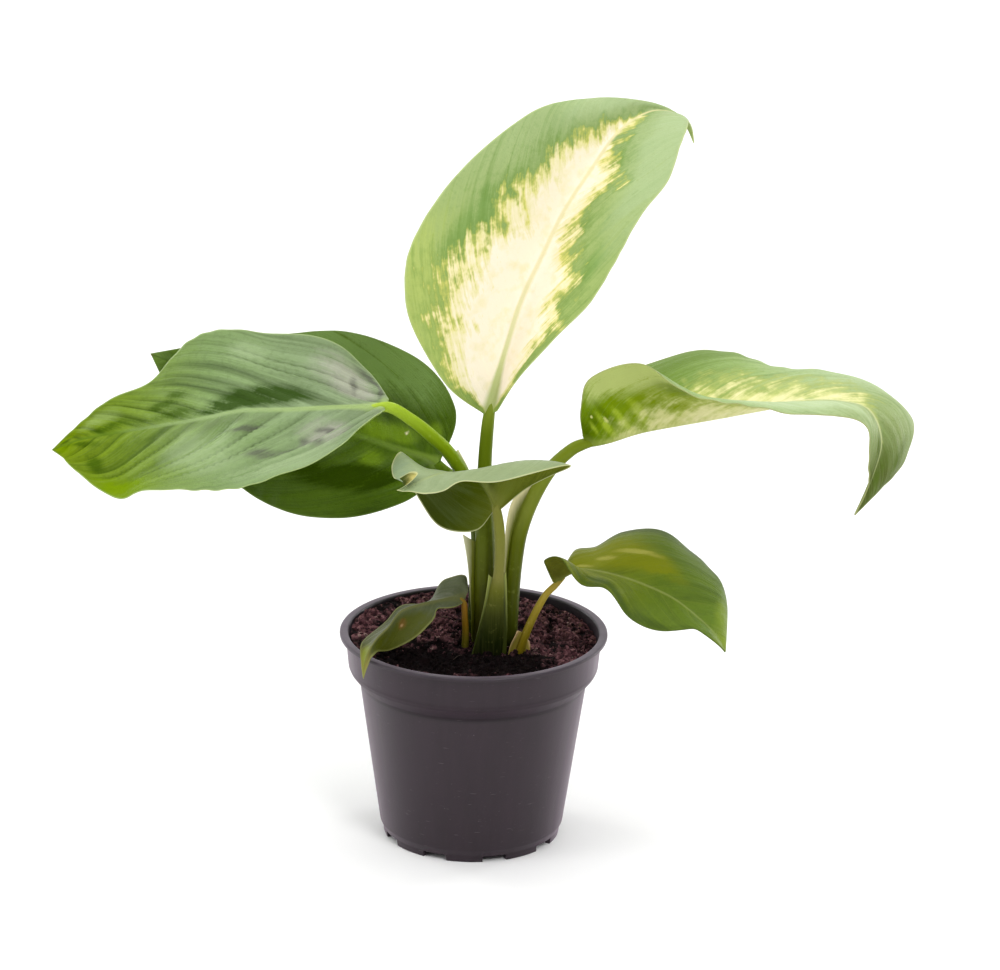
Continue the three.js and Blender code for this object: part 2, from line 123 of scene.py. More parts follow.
def piece(name, node, points, faces, material, values=None, uv=None, only=True, smooth=True):
    """A mesh object from points in millimetres and arrays of faces, each row a face's point numbers.
    All faces are turned round when the signed volume, the sum of a . (b x c) over their triangles, is
    negative. values are numbers kept at the points, and uv is the map of the veins. It rides on the
    root body and, if only is true, stands for its node."""
    corners = [points[rows] for rows in faces]
    volume = sum(np.einsum("ij,ikj->", c[:, 0], np.cross(c[:, 1:-1], c[:, 2:])) for c in corners)
    if volume < 0:
        faces = [rows[:, ::-1] for rows in faces]
    mesh = bpy.data.meshes.new(name)
    mesh.from_pydata((points * MM).tolist(), [], sum((rows.tolist() for rows in faces), []))
    mesh.polygons.foreach_set("use_smooth", np.full(len(mesh.polygons), smooth))
    for key, numbers in (values or {}).items():
        kept = mesh.attributes.new(key, "FLOAT", "POINT").data
        kept.foreach_set("value", np.ravel(numbers).astype(np.float32))
    if uv is not None:
        point_of = np.empty(len(mesh.loops), np.int32)
        mesh.loops.foreach_get("vertex_index", point_of)
        mesh.uv_layers.new(name="veins").data.foreach_set("uv", uv[point_of].astype(np.float32).ravel())
    mesh.materials.append(material)
    made = place(name, mesh)
    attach(made, "root")
    if only:
        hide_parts(node)
    return made


def place(name, data):
    """An object of the given data, put into the scene."""
    made = bpy.data.objects.new(name, data)
    bpy.context.scene.collection.objects.link(made)
    return made


def fill(node, inputs):
    """Sets a node's sockets: a link when given another node's output, else a number or a colour."""
    for key, value in inputs.items():
        if isinstance(value, bpy.types.NodeSocket):
            node.id_data.links.new(value, node.inputs[key])
        else:
            node.inputs[key].default_value = linear(value) if isinstance(value, str) else value


def add(tree, kind, *inputs, out=0, stops=(), **named):
    """Adds a node and gives back one of its outputs. kind is the node's name, with its operation after
    a dot. inputs fill its sockets in order, and named are sockets by name, or settings. stops are a
    colour ramp's places and colours."""
    kind, _, operation = kind.partition(".")
    made = tree.nodes.new("ShaderNode" + kind)
    sockets = range(len(inputs))
    if operation:
        made.operation = operation
    if kind == "Mix":
        # Each mix here is of two colours, whose sockets come after those for numbers and vectors.
        made.data_type = "RGBA"
        sockets, out = (0, 6, 7), 2
    fill(made, dict(zip(sockets, inputs)))
    fill(made, {key: value for key, value in named.items() if key in made.inputs})
    for key in named.keys() - set(made.inputs.keys()):
        setattr(made, key, named[key])
    if stops:
        ramp = made.color_ramp.elements
        while len(ramp) < len(stops):
            ramp.new(1.0)
        for mark, (where, colour) in zip(ramp, sorted(stops, key=lambda s: s[0])):
            mark.position = where
            mark.color = linear(colour) if isinstance(colour, str) else (colour, colour, colour, 1.0)
    return made.outputs[out]


def substance(name):
    """A new material, with the function that adds a node to it and the one that sets its shader."""
    made = bpy.data.materials.new(name)
    made.use_nodes = True
    return made, partial(add, made.node_tree), partial(fill, made.node_tree.nodes["Principled BSDF"])


# Leaf blades

# Places across a blade from -1 to 1, closer together at the midrib and at the margins.
HALF = np.linspace(0, 1, 37)
HALF = 0.55 * HALF + 0.45 * (0.5 - 0.5 * np.cos(math.pi * HALF))
ACROSS = np.concatenate([-HALF[:0:-1], HALF])
# Two sine waves by which the side veins wander: radians a mm, start, and height in vein spacings.
SWAY = ((0.55, 0.0, 0.10), (0.17, 1.0, 0.22))
# A blade stops just short of its tip, where its width would be nothing, and is 0.55 mm thick.
TIP = 0.9985
THICK = 0.55


def rounded(v):
    """|v| with its corner at zero rounded off: (hypot(v, 0.16) - 0.16), scaled to be 1 at 1."""
    return (np.hypot(v, 0.16) - 0.16) / (math.hypot(1, 0.16) - 0.16)


def spots(u, v, marks):
    """Sum of soft ovals: each mark (u0, v0, du, dv) adds exp(-((u - u0) / du)^2 - ((v - v0) / dv)^2)."""
    total = np.zeros(np.broadcast(u, v).shape)
    for place_u, place_v, du, dv in marks:
        total = total + np.exp(-((u - place_u) / du) ** 2 - ((v - place_v) / dv) ** 2)
    return np.minimum(total, 1)


def blade(name, stations, arch, wave, waves, keel, skin, quilt, gap, rows, frill=0.25,
          cream=((0, 0), (0, 0)), calm=0.0, sweep=0.9, spine=1.5):
    """Leaf blade as a function of u, base to tip, and v, left margin to right margin. The stations'
    three curves give midrib and margins at u. Across, a point goes straight from midrib to margin,
    with the fold at the midrib rounded, and is lifted along the normal by arch * half width *
    4 v (1 - v), of which the share calm fades out past the first third, and by sine waves that grow
    towards the margin. Side veins are the curves where s - d (sweep + 0.9 v^2) is constant, s along
    the midrib and d away from it: every gap mm, and half a gap further on in the right half, the
    blade is drawn in on one, and it swells by quilt between two. Under the midrib it swells by keel.
    Its upper face is the one that looks up on the whole. spine is the pale midrib's half width at the
    base, and cream the pale patch's half widths from base to tip. skin is the leaf's material and the
    marks of each of its tints."""
    material, marks = skin
    t = np.linspace(0, TIP, rows + 1)
    mid, left, right = np.moveaxis(along(stations, t), 1, 0)
    u, v = t[:, None], ACROSS[None]
    w = np.abs(v)
    r = rounded(v)
    side = (v > 0).astype(int)
    spread = ((right - left) / 2)[:, None]
    lift = ((left + right) / 2 - mid)[:, None]
    flat = mid[:, None] + spread * v[..., None] + lift * r[..., None]
    sky = math.copysign(1, square_to(flat)[..., 2].mean())
    half = np.where(side, *(np.linalg.norm(edge - mid, axis=1)[:, None] for edge in (right, left)))
    run = np.concatenate([[0], np.cumsum(np.linalg.norm(np.diff(mid, axis=0), axis=1))])[:, None]
    fade = np.sin(math.pi * np.minimum(u, 0.97))
    # The midrib's relief fades where half a blade is under 8 mm wide, and the quilting under 14 mm.
    slim = np.minimum(1, half / 8)
    away = w * half
    vein = run - away * (sweep + 0.9 * w ** 2)
    turn = vein / gap + sum(high * np.sin(rate * vein + start) for rate, start, high in SWAY) + 0.5 * side
    near = np.abs(turn - np.round(turn))
    cushion = 0.3 - 0.4 * np.cos(math.pi * near) ** 2 - 0.45 * np.exp(-(near / 0.13) ** 2)
    swell = quilt * cushion * step(w, 0.03, 0.2) * (1 - step(w, 0.6, 1)) * np.minimum(1, half / 14)
    ripple = wave * fade * r * r * np.sin(waves * math.pi * 2 * u + side * 2.1)
    edge = frill * fade * w ** 6 * np.sin(run * 0.62 + 3.0 * np.sin(run * 0.11) + side * 1.3)
    vault = np.array(arch)[side] * half * 4 * r * (1 - r) * (1 - calm * step(u, 0.33, 0.5))
    bent = flat + square_to(flat) * (vault + ripple + edge + swell * sky)[..., None]
    # Where a blade is under 31 mm wide its normals are drawn towards their mean across it, and under
    # 7 mm wholly so.
    reach = np.linalg.norm(bent[:, -1] - bent[:, 0], axis=1) / 2
    share = np.clip(1.3 - reach / 12, 0, 1)[:, None, None]
    out = square_to(bent)
    out = unit(out * (1 - share) + unit(out.mean(1, keepdims=True)) * share)
    body = THICK / 2 * (1 - 0.5 * w ** 8)
    ridge = 0.28 * (1 - u) * slim * np.exp(-(away / 0.9) ** 2)
    swollen = keel * (1 - u) * slim * np.exp(-(away / 1.5) ** 2)
    upper = bent + sky * out * (body + ridge)[..., None]
    points, faces = slab(upper, bent - sky * out * (body + swollen)[..., None])
    patch = np.where(side, *(along(np.array(widths)[:, None], t) for widths in (cream[1], cream[0])))
    breadth = np.maximum(spine * (1 - 0.75 * u), 0.3) * np.minimum(1, half / 8 + 0.3)
    breadth = breadth * (1 + 1.8 * np.exp(-(u / 0.09) ** 2))
    values = {
        "along": u + 0 * v, "across": w + 0 * u, "pale": patch - w, "margin": half - away,
        "rib": np.exp(-(away / breadth) ** 2), **{"tint%d" % k: spots(u, v, m) for k, m in enumerate(marks)},
    }
    values = {key: np.tile(np.ravel(numbers), 2) for key, numbers in values.items()}
    values["upper"] = np.repeat([1.0, 0.0], vein.size)
    # The map holds, in units of 100 mm, the place among the veins and the distance from the midrib,
    # which is negative on the left half and 60 mm more on the right one.
    chart = np.stack([vein, away * np.where(side, 1, -1) + 60 * side], -1).reshape(-1, 2) / 100
    return piece(name, name + "_blade", points, faces, material, values, np.tile(chart, (2, 1)))


def cuticle(name, face, deep, light, rib, under, rim, patch, streak, veins, vein, gloss, film, gap,
            tints, cream=None, crease_shade=0.0):
    """Living leaf: a thin green blade under a clear waxed skin, so a soft broad sheen over a colour
    that runs in streaks along the side veins. face, rib and under are colours from base to tip, deep
    and light the colours of patches and streaks, rim the pale margin. cream holds the edge colour, the
    middle colour, the spread of the ragged edge, its softness, and how much shows above and through
    to the underside. Each of tints is a face, a colour, its strength and its soft oval marks on the
    leaf; one whose face is called shade lies on the upper face and also takes the mirror off the skin.
    film is how much the skin mirrors at the base and at the tip; the underside, which has no wax,
    mirrors far less. The last argument is how much painted shade darkens the blade beside its side veins,
    where it is drawn in."""
    made, new, finish = substance(name)
    upper, run, across, inset, midrib, margin = (
        new("Attribute", attribute_name=key, out="Fac")
        for key in ("upper", "along", "across", "pale", "rib", "margin"))
    chart = new("UVMap", uv_map="veins")
    spot = new("TexCoord", out="Object")
    # The map is in units of 100 mm: streaks about 1.2 mm wide and 8 mm long, tongues 4 by 12 mm,
    # patches 12 by 26 mm.
    streaks, tongues, patches = (
        new("TexNoise", Vector=new("Mapping", Vector=chart, Scale=(broad, long, 1)), Scale=1.0,
            Detail=detail, Roughness=rough)
        for broad, long, detail, rough in ((85, 12, 3.0, 0.6), (26, 8, 4.0, 0.65), (8.5, 3.8, 2.0, 0.5)))
    # Lobes of 6 mm, mottling of 2 mm, specks of 0.8 mm, and cells of the skin, drawn at 0.6 mm because
    # the real 0.05 mm is too fine to show.
    lobes, mottle, specks = (
        new("TexNoise", Vector=spot, Scale=size, Detail=detail, Roughness=rough)
        for size, detail, rough in ((170.0, 3.0, 0.6), (520.0, 4.0, 0.7), (1250.0, 2.0, 0.5)))
    cells = new("TexVoronoi", Vector=spot, Scale=1600.0)
    uneven = new("Math.ADD", patches, tongues)
    dark = new("MapRange", uneven, 0.96, 1.25, 0.0, patch)
    top = new("Mix", dark, new("ValToRGB", run, stops=face), deep)
    top = new("Mix", new("MapRange", streaks, 0.42, 0.72, 0.0, streak), top, light)
    top = new("Mix", new("MapRange", mottle, 0.5, 0.75, 0.0, 0.35), top, deep)
    # Side veins, counted as in blade, from the map.
    phase = new("SeparateXYZ", chart)
    beat = new("Math.MULTIPLY", phase, 100 / gap)
    for rate, start, high in SWAY:
        wave = new("Math.SINE", new("Math.MULTIPLY_ADD", phase, rate * 100, start))
        beat = new("Math.MULTIPLY_ADD", wave, high, beat)
    right = new("Math.GREATER_THAN", phase.node.outputs["Y"], 0.3)
    near = new("Math.PINGPONG", new("Math.MULTIPLY_ADD", right, 0.5, beat), 0.5)
    inner = new("MapRange", across, 0.95, 0.6, 0.0, veins)
    # Painted shade: the blade is darkened beside its side veins, where it is drawn in.
    drawn = new("Math.MULTIPLY", new("MapRange", near, 0.3, 0.02, 0.0, crease_shade), inner)
    top = new("Mix", new("Math.MULTIPLY", drawn, uneven), top, deep)
    line = new("Math.MULTIPLY", new("MapRange", near, 0.07, 0.0, 0.0, 1.0), inner)
    top = new("Mix", line, top, vein)
    low = new("Mix", new("Math.MULTIPLY", line, 0.4), new("ValToRGB", run, stops=under), light)
    low = new("Mix", new("Math.MULTIPLY", dark, 0.5), low, deep)
    noisy = new("Math.MULTIPLY_ADD", uneven, 1.8, -2.0)
    for noise, share in ((lobes, 0.9), (streaks, 0.9), (specks, 0.6)):
        noisy = new("Math.MULTIPLY_ADD", noise, share, noisy)
    waxed = new("MapRange", upper, 0.0, 1.0, 0.15, 1.0)
    mirror = new("Math.MULTIPLY", new("MapRange", run, 0.42, 0.68, *film), waxed)
    for k, (which, tint, amount, _) in enumerate(tints):
        mark = new("Attribute", attribute_name="tint%d" % k, out="Fac")
        mask = new("MapRange", new("Math.MULTIPLY", mark, noisy), 0.2, 0.85, 0.0, amount)
        if which == "shade":
            mirror = new("Math.MULTIPLY", mirror, new("Math.SUBTRACT", 1.0, mask))
        if which == "under":
            low = new("Mix", mask, low, tint)
        else:
            top = new("Mix", mask, top, tint)
    if cream:
        edge, middle, ragged, soft, shown, through = cream
        inside = new("Math.SUBTRACT", inset, ragged * 0.93)
        for noise, share in ((tongues, 0.8), (lobes, 0.8), (streaks, 0.16), (mottle, 0.1)):
            inside = new("Math.MULTIPLY_ADD", noise, ragged * share, inside)
        ring = new("Math.MULTIPLY", new("MapRange", inside, -0.28, -0.04, 0.0, 0.6), uneven)
        yellow = new("MapRange", inside, -soft, soft * 0.7)
        white = new("MapRange", new("Math.MULTIPLY_ADD", uneven, 0.22, inside), 0.2, 0.36 + soft)
        cloud = new("Math.MULTIPLY", new("MapRange", lobes, 0.5, 0.68, 0.0, 0.28), white)
        for mask, paint in ((ring, deep), (yellow, edge), (white, middle), (cloud, edge)):
            top = new("Mix", new("Math.MULTIPLY", mask, shown), top, paint)
            low = new("Mix", new("Math.MULTIPLY", mask, through), low, paint)
    bone = new("ValToRGB", run, stops=rib)
    top = new("Mix", new("MapRange", midrib, 0.2, 0.8, 0.0, 0.8), top, bone)
    low = new("Mix", new("MapRange", midrib, 0.1, 0.9, 0.0, 0.5), low, bone)
    colour = new("Mix", new("MapRange", margin, 0.6, 0.1, 0.0, 0.7), new("Mix", upper, low, top), rim)
    grain = new("Math.MULTIPLY_ADD", cells, 0.4, streaks)
    grain = new("Math.MULTIPLY_ADD", mottle, 0.8, grain)
    finish({
        "Base Color": colour, "IOR": 1.45, "Specular IOR Level": mirror,
        "Roughness": new("MapRange", uneven, 0.8, 1.2, gloss - 0.07, gloss + 0.09),
        "Normal": new("Bump", Height=grain, Strength=0.5, Distance=0.0004),
    })
    return made, [marks for _, _, _, marks in tints]


# Leaf stalks and their sheaths

# A stalk has 110 rings of 40 points and 6 more at each end, and ribs 1.4% of its half width high.
RINGS = 110
SIDES = 40
CAP = 6
RIDGE = 0.014


def stalk(leaf, path, colours, streak):
    """Leaf stalk as a function of t along its path and an angle round it. The path's stations are x, y,
    z, half width and half depth. It is an oval of that size, raised by RIDGE * (cos(9 angle + 2 t) +
    sin(4 angle + 5 t) / 2), and closed at both ends by letting the oval shrink as a quarter circle."""
    t = np.concatenate([np.zeros(CAP), np.linspace(0, 1, RINGS), np.ones(CAP)])
    bow = np.sin(np.linspace(0.02, math.pi / 2, CAP))
    shrink = np.concatenate([bow, np.ones(RINGS), bow[::-1]])[:, None]
    line = along(path, t)
    way = unit(along(path, np.minimum(t + 0.01, 1))[:, :3] - along(path, np.maximum(t - 0.01, 0))[:, :3])
    cap = np.concatenate([-np.sqrt(1 - bow ** 2), np.zeros(RINGS), np.sqrt(1 - bow[::-1] ** 2)]) * 0.8
    centre = line[:, :3] + way * (cap * np.minimum(line[:, 3], 1.5))[:, None]
    deep = unit(np.array([0.0, 1.0, 0.0]) - way * way[:, 1:2])
    wide = np.cross(deep, way)
    angle = np.linspace(0, 2 * math.pi, SIDES, endpoint=False)[None]
    swell = np.cos(9 * angle + 2 * t[:, None]) + 0.5 * np.sin(4 * angle + 5 * t[:, None])
    size = (shrink * (1 + RIDGE * swell))[..., None]
    points = centre[:, None] + size * (wide[:, None] * (line[:, 3:4] * np.cos(angle))[..., None]
                                       + deep[:, None] * (line[:, 4:5] * np.sin(angle))[..., None])
    rows = len(t)
    every = np.concatenate([points.reshape(-1, 3), [points[0].mean(0), points[-1].mean(0)]])
    j = np.arange(SIDES)
    k = (j + 1) % SIDES
    last = (rows - 1) * SIDES
    pole = rows * SIDES
    low = np.stack([k, j, np.full(SIDES, pole)], -1)
    high = np.stack([j + last, k + last, np.full(SIDES, pole + 1)], -1)
    faces = [quads(rows, SIDES, closed=True), np.concatenate([low, high])]
    lengthwise = np.concatenate([np.repeat(t, SIDES), [0.0, 1.0]])
    material = fleshy(leaf + "_stalk_flesh", colours, streak)
    return piece(leaf + "_petiole", leaf + "_stalk", every, faces, material, {"along": lengthwise})


def sheath(name, inner, free, material, curl=0.8, rows=60):
    """Thin skin beside a stalk as a function of t along it and w away from it: the straight line from
    the inner curve to the free edge, bowed by curl * sin(pi w), waved by a small sine near the free
    edge, and from 0.45 mm thick at the stalk to 0.18 mm there."""
    t = np.linspace(0, 1, rows)
    w = np.linspace(0, 1, 17)[None]
    a, b = along(inner, t)[:, None], along(free, t)[:, None]
    t = t[:, None]
    flat = a + (b - a) * w[..., None]
    lift = curl * np.sin(math.pi * w) + 0.22 * w ** 2 * np.sin(9 * t + 2 * np.sin(5 * t))
    bent = flat + square_to(flat) * lift[..., None]
    body = square_to(bent) * (0.45 / 2 * (1 - 0.6 * w))[..., None]
    points, faces = slab(bent + body, bent - body)
    values = {"along": np.tile((t + 0 * w).ravel(), 2), "free": np.tile((w + 0 * t).ravel(), 2)}
    node = name.split("_sheath")[0] + "_stalk"
    return piece(name, node, points, faces, material, values, only=False)


def fleshy(name, colours, streak):
    """Leaf stalk: fleshy, smooth and slightly waxed, with faint lines along its fibres, so a soft
    highlight runs down it. colours are from the soil to the blade; the near-black ones just above the soil
    are painted shade."""
    made, new, finish = substance(name)
    run = new("Attribute", attribute_name="along", out="Fac")
    spot = new("TexCoord", out="Object")
    # Fibres about 0.7 mm apart and 12 mm long, along the stalk, which stands nearly upright.
    thin = new("Mapping", Vector=spot, Scale=(1400, 1400, 85))
    fibres = new("TexNoise", Vector=thin, Scale=1.0, Detail=2.0)
    specks = new("TexNoise", Vector=spot, Scale=420.0, Detail=3.0, Roughness=0.7)
    flesh = new("ValToRGB", run, stops=colours)
    lined = new("Mix", new("MapRange", fibres, 0.42, 0.72, 0.0, 0.06), flesh, streak)
    finish({
        "Base Color": new("Mix", new("MapRange", specks, 0.6, 0.74, 0.0, 0.3), lined, streak),
        "Roughness": 0.38, "IOR": 1.42, "Specular IOR Level": 0.12,
        "Normal": new("Bump", Height=fibres, Strength=0.08, Distance=0.0003),
    })
    return made


def membrane(name, root, edge, dry):
    """Sheath margin: a papery skin, green where it leaves the stalk and drying to pale cream at its
    free edge, most of all at its top, so only that edge catches the light. dry is how much is pale."""
    made, new, finish = substance(name)
    free, run = (new("Attribute", attribute_name=key, out="Fac") for key in ("free", "along"))
    # Nerves of the skin, about 0.8 mm apart and 10 mm long.
    thin = new("Mapping", Vector=new("TexCoord", out="Object"), Scale=(1200, 1200, 100))
    nerves = new("TexNoise", Vector=thin, Scale=1.0, Detail=2.0)
    mixed = new("Math.MULTIPLY_ADD", free, 0.6, new("Math.MULTIPLY_ADD", run, 0.5, dry))
    mixed = new("Math.MULTIPLY_ADD", nerves, 0.12, mixed)
    finish({
        "Base Color": new("ValToRGB", mixed, stops=[(0.56, root), (0.86, edge)]),
        "Roughness": 0.5, "IOR": 1.42, "Specular IOR Level": 0.3,
        "Normal": new("Bump", Height=nerves, Strength=0.1, Distance=0.0003),
    })
    return made


# The leaves, from the top one down. Stations in mm: midrib, left margin, right margin.

blade(
    "leaf_top",
    [[(4, 0, 148), (2, -1, 149), (7, -1, 150)], [(6.6, 1, 161), (-10, -9, 161), (14, -5, 163)],
     [(9.6, 3, 172), (-21, -14, 182), (24, -9, 176)], [(14, 6, 186), (-24, -14, 197), (36, -9, 189)],
     [(20.6, 10, 200), (-22, -10, 209), (44, -7, 203)], [(27.6, 15, 214), (-12, -4, 225), (52, -2, 216)],
     [(36, 21, 226), (1, 5, 238), (61, 5, 227)], [(45, 29, 237), (19, 18, 248), (65, 14, 236)],
     [(55, 37, 242), (37, 33, 248), (68, 24, 240)], [(63, 40, 241.5), (55, 40, 245), (68.5, 31, 241)],
     [(68.5, 41, 237.5), (66, 42, 239.5), (70, 38, 237)], [(71, 40, 231), (71, 40, 231), (71, 40, 231)]],
    arch=(0.07, 0.07), wave=0.5, waves=4, keel=1.6,
    skin=cuticle(
        "leaf_top_variegated_cuticle",
        face=[(0.0, "#8aa04a"), (0.3, "#98ae60"), (0.6, "#9aaf72"), (1.0, "#9cae7a")], deep="#688c38",
        light="#bccc84",
        rib=[(0.0, "#93a644"), (0.1, "#a5b55a"), (0.19, "#cdd08c"), (0.34, "#e8dea8"), (0.75, "#e6dca4"),
             (1.0, "#a9b87c")],
        rim="#c2cc90", under=[(0.0, "#a9b866"), (0.5, "#a3b46c"), (1.0, "#8fa35a")],
        cream=("#dcd66c", "#fcf0da", 0.85, 0.11, 1.0, 0.6), patch=0.45, streak=0.15, veins=0.15,
        vein="#86a458", gloss=0.48, film=(0.4, 0.4), gap=6.5,
        tints=[
            ("upper", "#b0c062", 0.75, [(0.14, -0.95, 0.12, 0.25), (0.3, -0.95, 0.14, 0.25)]),
            ("upper", "#658f36", 0.55,
             [(0.45, -0.62, 0.09, 0.16), (0.36, -0.75, 0.06, 0.08), (0.5, 0.3, 0.06, 0.1),
              (0.36, 0.75, 0.05, 0.1), (0.6, 0.25, 0.05, 0.08)]),
            ("upper", "#a9bd8a", 0.6,
             [(0.55, 0.85, 0.16, 0.25), (0.7, 0.7, 0.12, 0.3), (0.72, -0.6, 0.1, 0.3)])],
    ),
    quilt=0.2, gap=6.0, rows=150,
    cream=((0.4, 0.7, 0.8, 0.73, 0.71, 0.67, 0.66, 0.66, 0.47, 0.52, 0.46, 0.42, 0.26, 0.13, -0.1, -0.6,
            -0.8, -0.8, -0.8, -0.8),
           (0.25, 0.9, 0.8, 0.78, 0.84, 0.58, 0.64, 0.4, 0.25, 0.28, 0.36, 0.16, 0.06, 0.02, -0.1, -0.6,
            -0.8, -0.8, -0.8, -0.8)),
    frill=0.1,
)
blade(
    "leaf_left",
    [[(-30, -5, 153), (-29, -3, 154), (-30, -8, 152)], [(-36, -5, 152), (-36, 14, 158), (-34, -18, 152)],
     [(-48, -4, 151), (-50, 22, 166), (-44, -26, 146)], [(-63, -1, 149), (-69, 28, 167), (-57, -31, 139)],
     [(-78, 3, 147), (-85, 32, 166), (-73, -32, 133)], [(-93, 8, 142), (-99, 34, 160), (-91, -27, 130.4)],
     [(-109, 14, 137), (-112, 32, 147), (-107.4, -18, 125.4)],
     [(-122, 19, 133), (-125, 31, 140), (-119, -9, 120.6)],
     [(-133, 24, 129), (-134, 30, 133.6), (-133.4, 8, 123.4)],
     [(-139.9, 27, 125.6), (-139.6, 29, 127.6), (-139, 21, 123.6)],
     [(-143.4, 28, 124), (-143.4, 28, 124), (-143.4, 28, 124)]],
    arch=(0.06, 0.08), wave=1.1, waves=4, keel=1.6,
    skin=cuticle(
        "leaf_left_green_cuticle",
        face=[(0.0, "#788860"), (0.22, "#7c9264"), (0.45, "#769250"), (0.6, "#728c2c"), (0.8, "#6e8416"),
              (1.0, "#66780a")],
        deep="#38500f", light="#8ea272",
        rib=[(0.0, "#9ab460"), (0.45, "#8ea668"), (0.7, "#5c7620"), (1.0, "#557010")], rim="#a0b474",
        under=[(0.0, "#7f9440"), (1.0, "#8aa82c")], patch=0.5, streak=0.12, veins=0.4, vein="#3c5418",
        gloss=0.34, film=(0.5, 0.0), gap=14.0, crease_shade=1.2,
        tints=[
            ("shade", "#2b4408", 0.9,
             [(0.31, -0.23, 0.07, 0.15), (0.39, -0.17, 0.07, 0.12), (0.45, -0.08, 0.05, 0.07)]),
            ("shade", "#3a5408", 0.8,
             [(0.56, -0.42, 0.05, 0.12), (0.55, -0.16, 0.05, 0.12), (0.71, -0.2, 0.07, 0.16),
              (0.8, 0.14, 0.06, 0.08), (0.76, 0.5, 0.025, 0.2), (0.88, -0.3, 0.04, 0.2)]),
            # Painted reflection: grey-mauve patches near the base where the waxed skin mirrors the bright
            # room.
            ("upper", "#a3a194", 0.65,
             [(0.17, -0.66, 0.07, 0.22), (0.225, 0.45, 0.06, 0.24), (0.12, -0.4, 0.06, 0.2)]),
            ("upper", "#3e3e32", 0.7,
             [(0.09, -0.86, 0.05, 0.08), (0.05, -0.6, 0.014, 0.3), (0.14, -0.5, 0.012, 0.16),
              (0.235, 0.36, 0.02, 0.04), (0.215, 0.42, 0.012, 0.05), (0.25, 0.56, 0.016, 0.06),
              (0.28, 0.46, 0.012, 0.05), (0.4, 0.2, 0.06, 0.03), (0.34, 0.56, 0.05, 0.03),
              (0.38, 0.5, 0.03, 0.04)]),
            # Painted sheen: pale sage patches where the waxed skin mirrors the room.
            ("upper", "#9db282", 0.5,
             [(0.5, 0.42, 0.08, 0.3), (0.36, -0.75, 0.05, 0.12), (0.3, 0.8, 0.12, 0.2)]),
            ("shade", "#6e8a00", 0.8,
             [(0.68, 0.85, 0.09, 0.2), (0.9, 0.3, 0.07, 0.4), (0.88, -0.6, 0.07, 0.2)]),
            ("upper", "#8ea45a", 0.7, [(0.74, -0.6, 0.07, 0.25)]),
            # Painted shadow: a thin dark band just under the raised midrib.
            ("upper", "#5e7040", 0.5, [(0.42, 0.09, 0.1, 0.06)]),
            ("upper", "#2a2408", 0.9, [(0.985, 0.0, 0.018, 1.0)])],
    ),
    quilt=1.6, gap=14.0, rows=160, sweep=1.5,
)
blade(
    "leaf_back_left",
    [[(-13, 11, 127), (-11.9, 11, 128.3), (-13, 11, 125.2)],
     [(-17, 15, 128), (-7, 14, 141), (-20, 13, 115)], [(-26, 20, 129), (-10, 24, 149), (-32, 14, 109)],
     [(-38, 26, 131), (-22, 36, 157), (-46, 17, 105)], [(-55, 32, 135), (-44, 42, 163), (-63, 22, 105)],
     [(-73, 37, 141), (-68, 44, 161), (-79, 26, 112)], [(-92, 41, 147), (-89, 44, 158), (-96, 36, 126)],
     [(-111, 43, 154), (-111, 43, 154), (-111, 43, 154)]],
    arch=(0.06, 0.06), wave=0.8, waves=3, keel=1.5,
    skin=cuticle(
        "leaf_back_left_green_cuticle",
        face=[(0.0, "#4e680a"), (0.25, "#4e690c"), (0.5, "#4c6414"), (0.8, "#445e06"), (1.0, "#56721c")],
        deep="#33490a", light="#6c8a3c", rib=[(0.0, "#7e963c"), (0.5, "#66822c"), (1.0, "#3c5408")],
        rim="#6c8440", under=[(0.0, "#5f7a2c"), (1.0, "#6a8236")], patch=0.5, streak=0.15, gap=8.0,
        veins=0.25, vein="#2c4404", gloss=0.33, film=(0.17, 0.36), crease_shade=0.8,
        tints=[
            ("upper", "#76941a", 0.75,
             [(0.41, -0.12, 0.06, 0.12), (0.3, -0.2, 0.06, 0.12), (0.38, 0.22, 0.05, 0.12),
              (0.24, 0.16, 0.05, 0.1), (0.2, -0.5, 0.05, 0.15)]),
            ("shade", "#566e20", 0.6, [(0.08, -0.9, 0.08, 0.25)]),
            # Mostly painted shadow: the dark band where the leaf above shades this blade.
            ("shade", "#2a3e00", 0.85,
             [(0.5, 0.52, 0.2, 0.16), (0.36, 0.46, 0.1, 0.14), (0.2, -0.4, 0.04, 0.08)]),
            # Painted sheen: paler green near the far margin where the skin catches the light.
            ("upper", "#78964e", 0.85, [(0.42, -0.85, 0.18, 0.28), (0.56, -0.95, 0.12, 0.35)]),
            ("upper", "#e8e0b8", 1.0, [(0.3, -0.24, 0.007, 0.024)]),
            ("upper", "#6a4424", 0.9, [(0.998, 0.0, 0.012, 1.0)])],
    ),
    quilt=0.45, gap=8.0, rows=130,
)
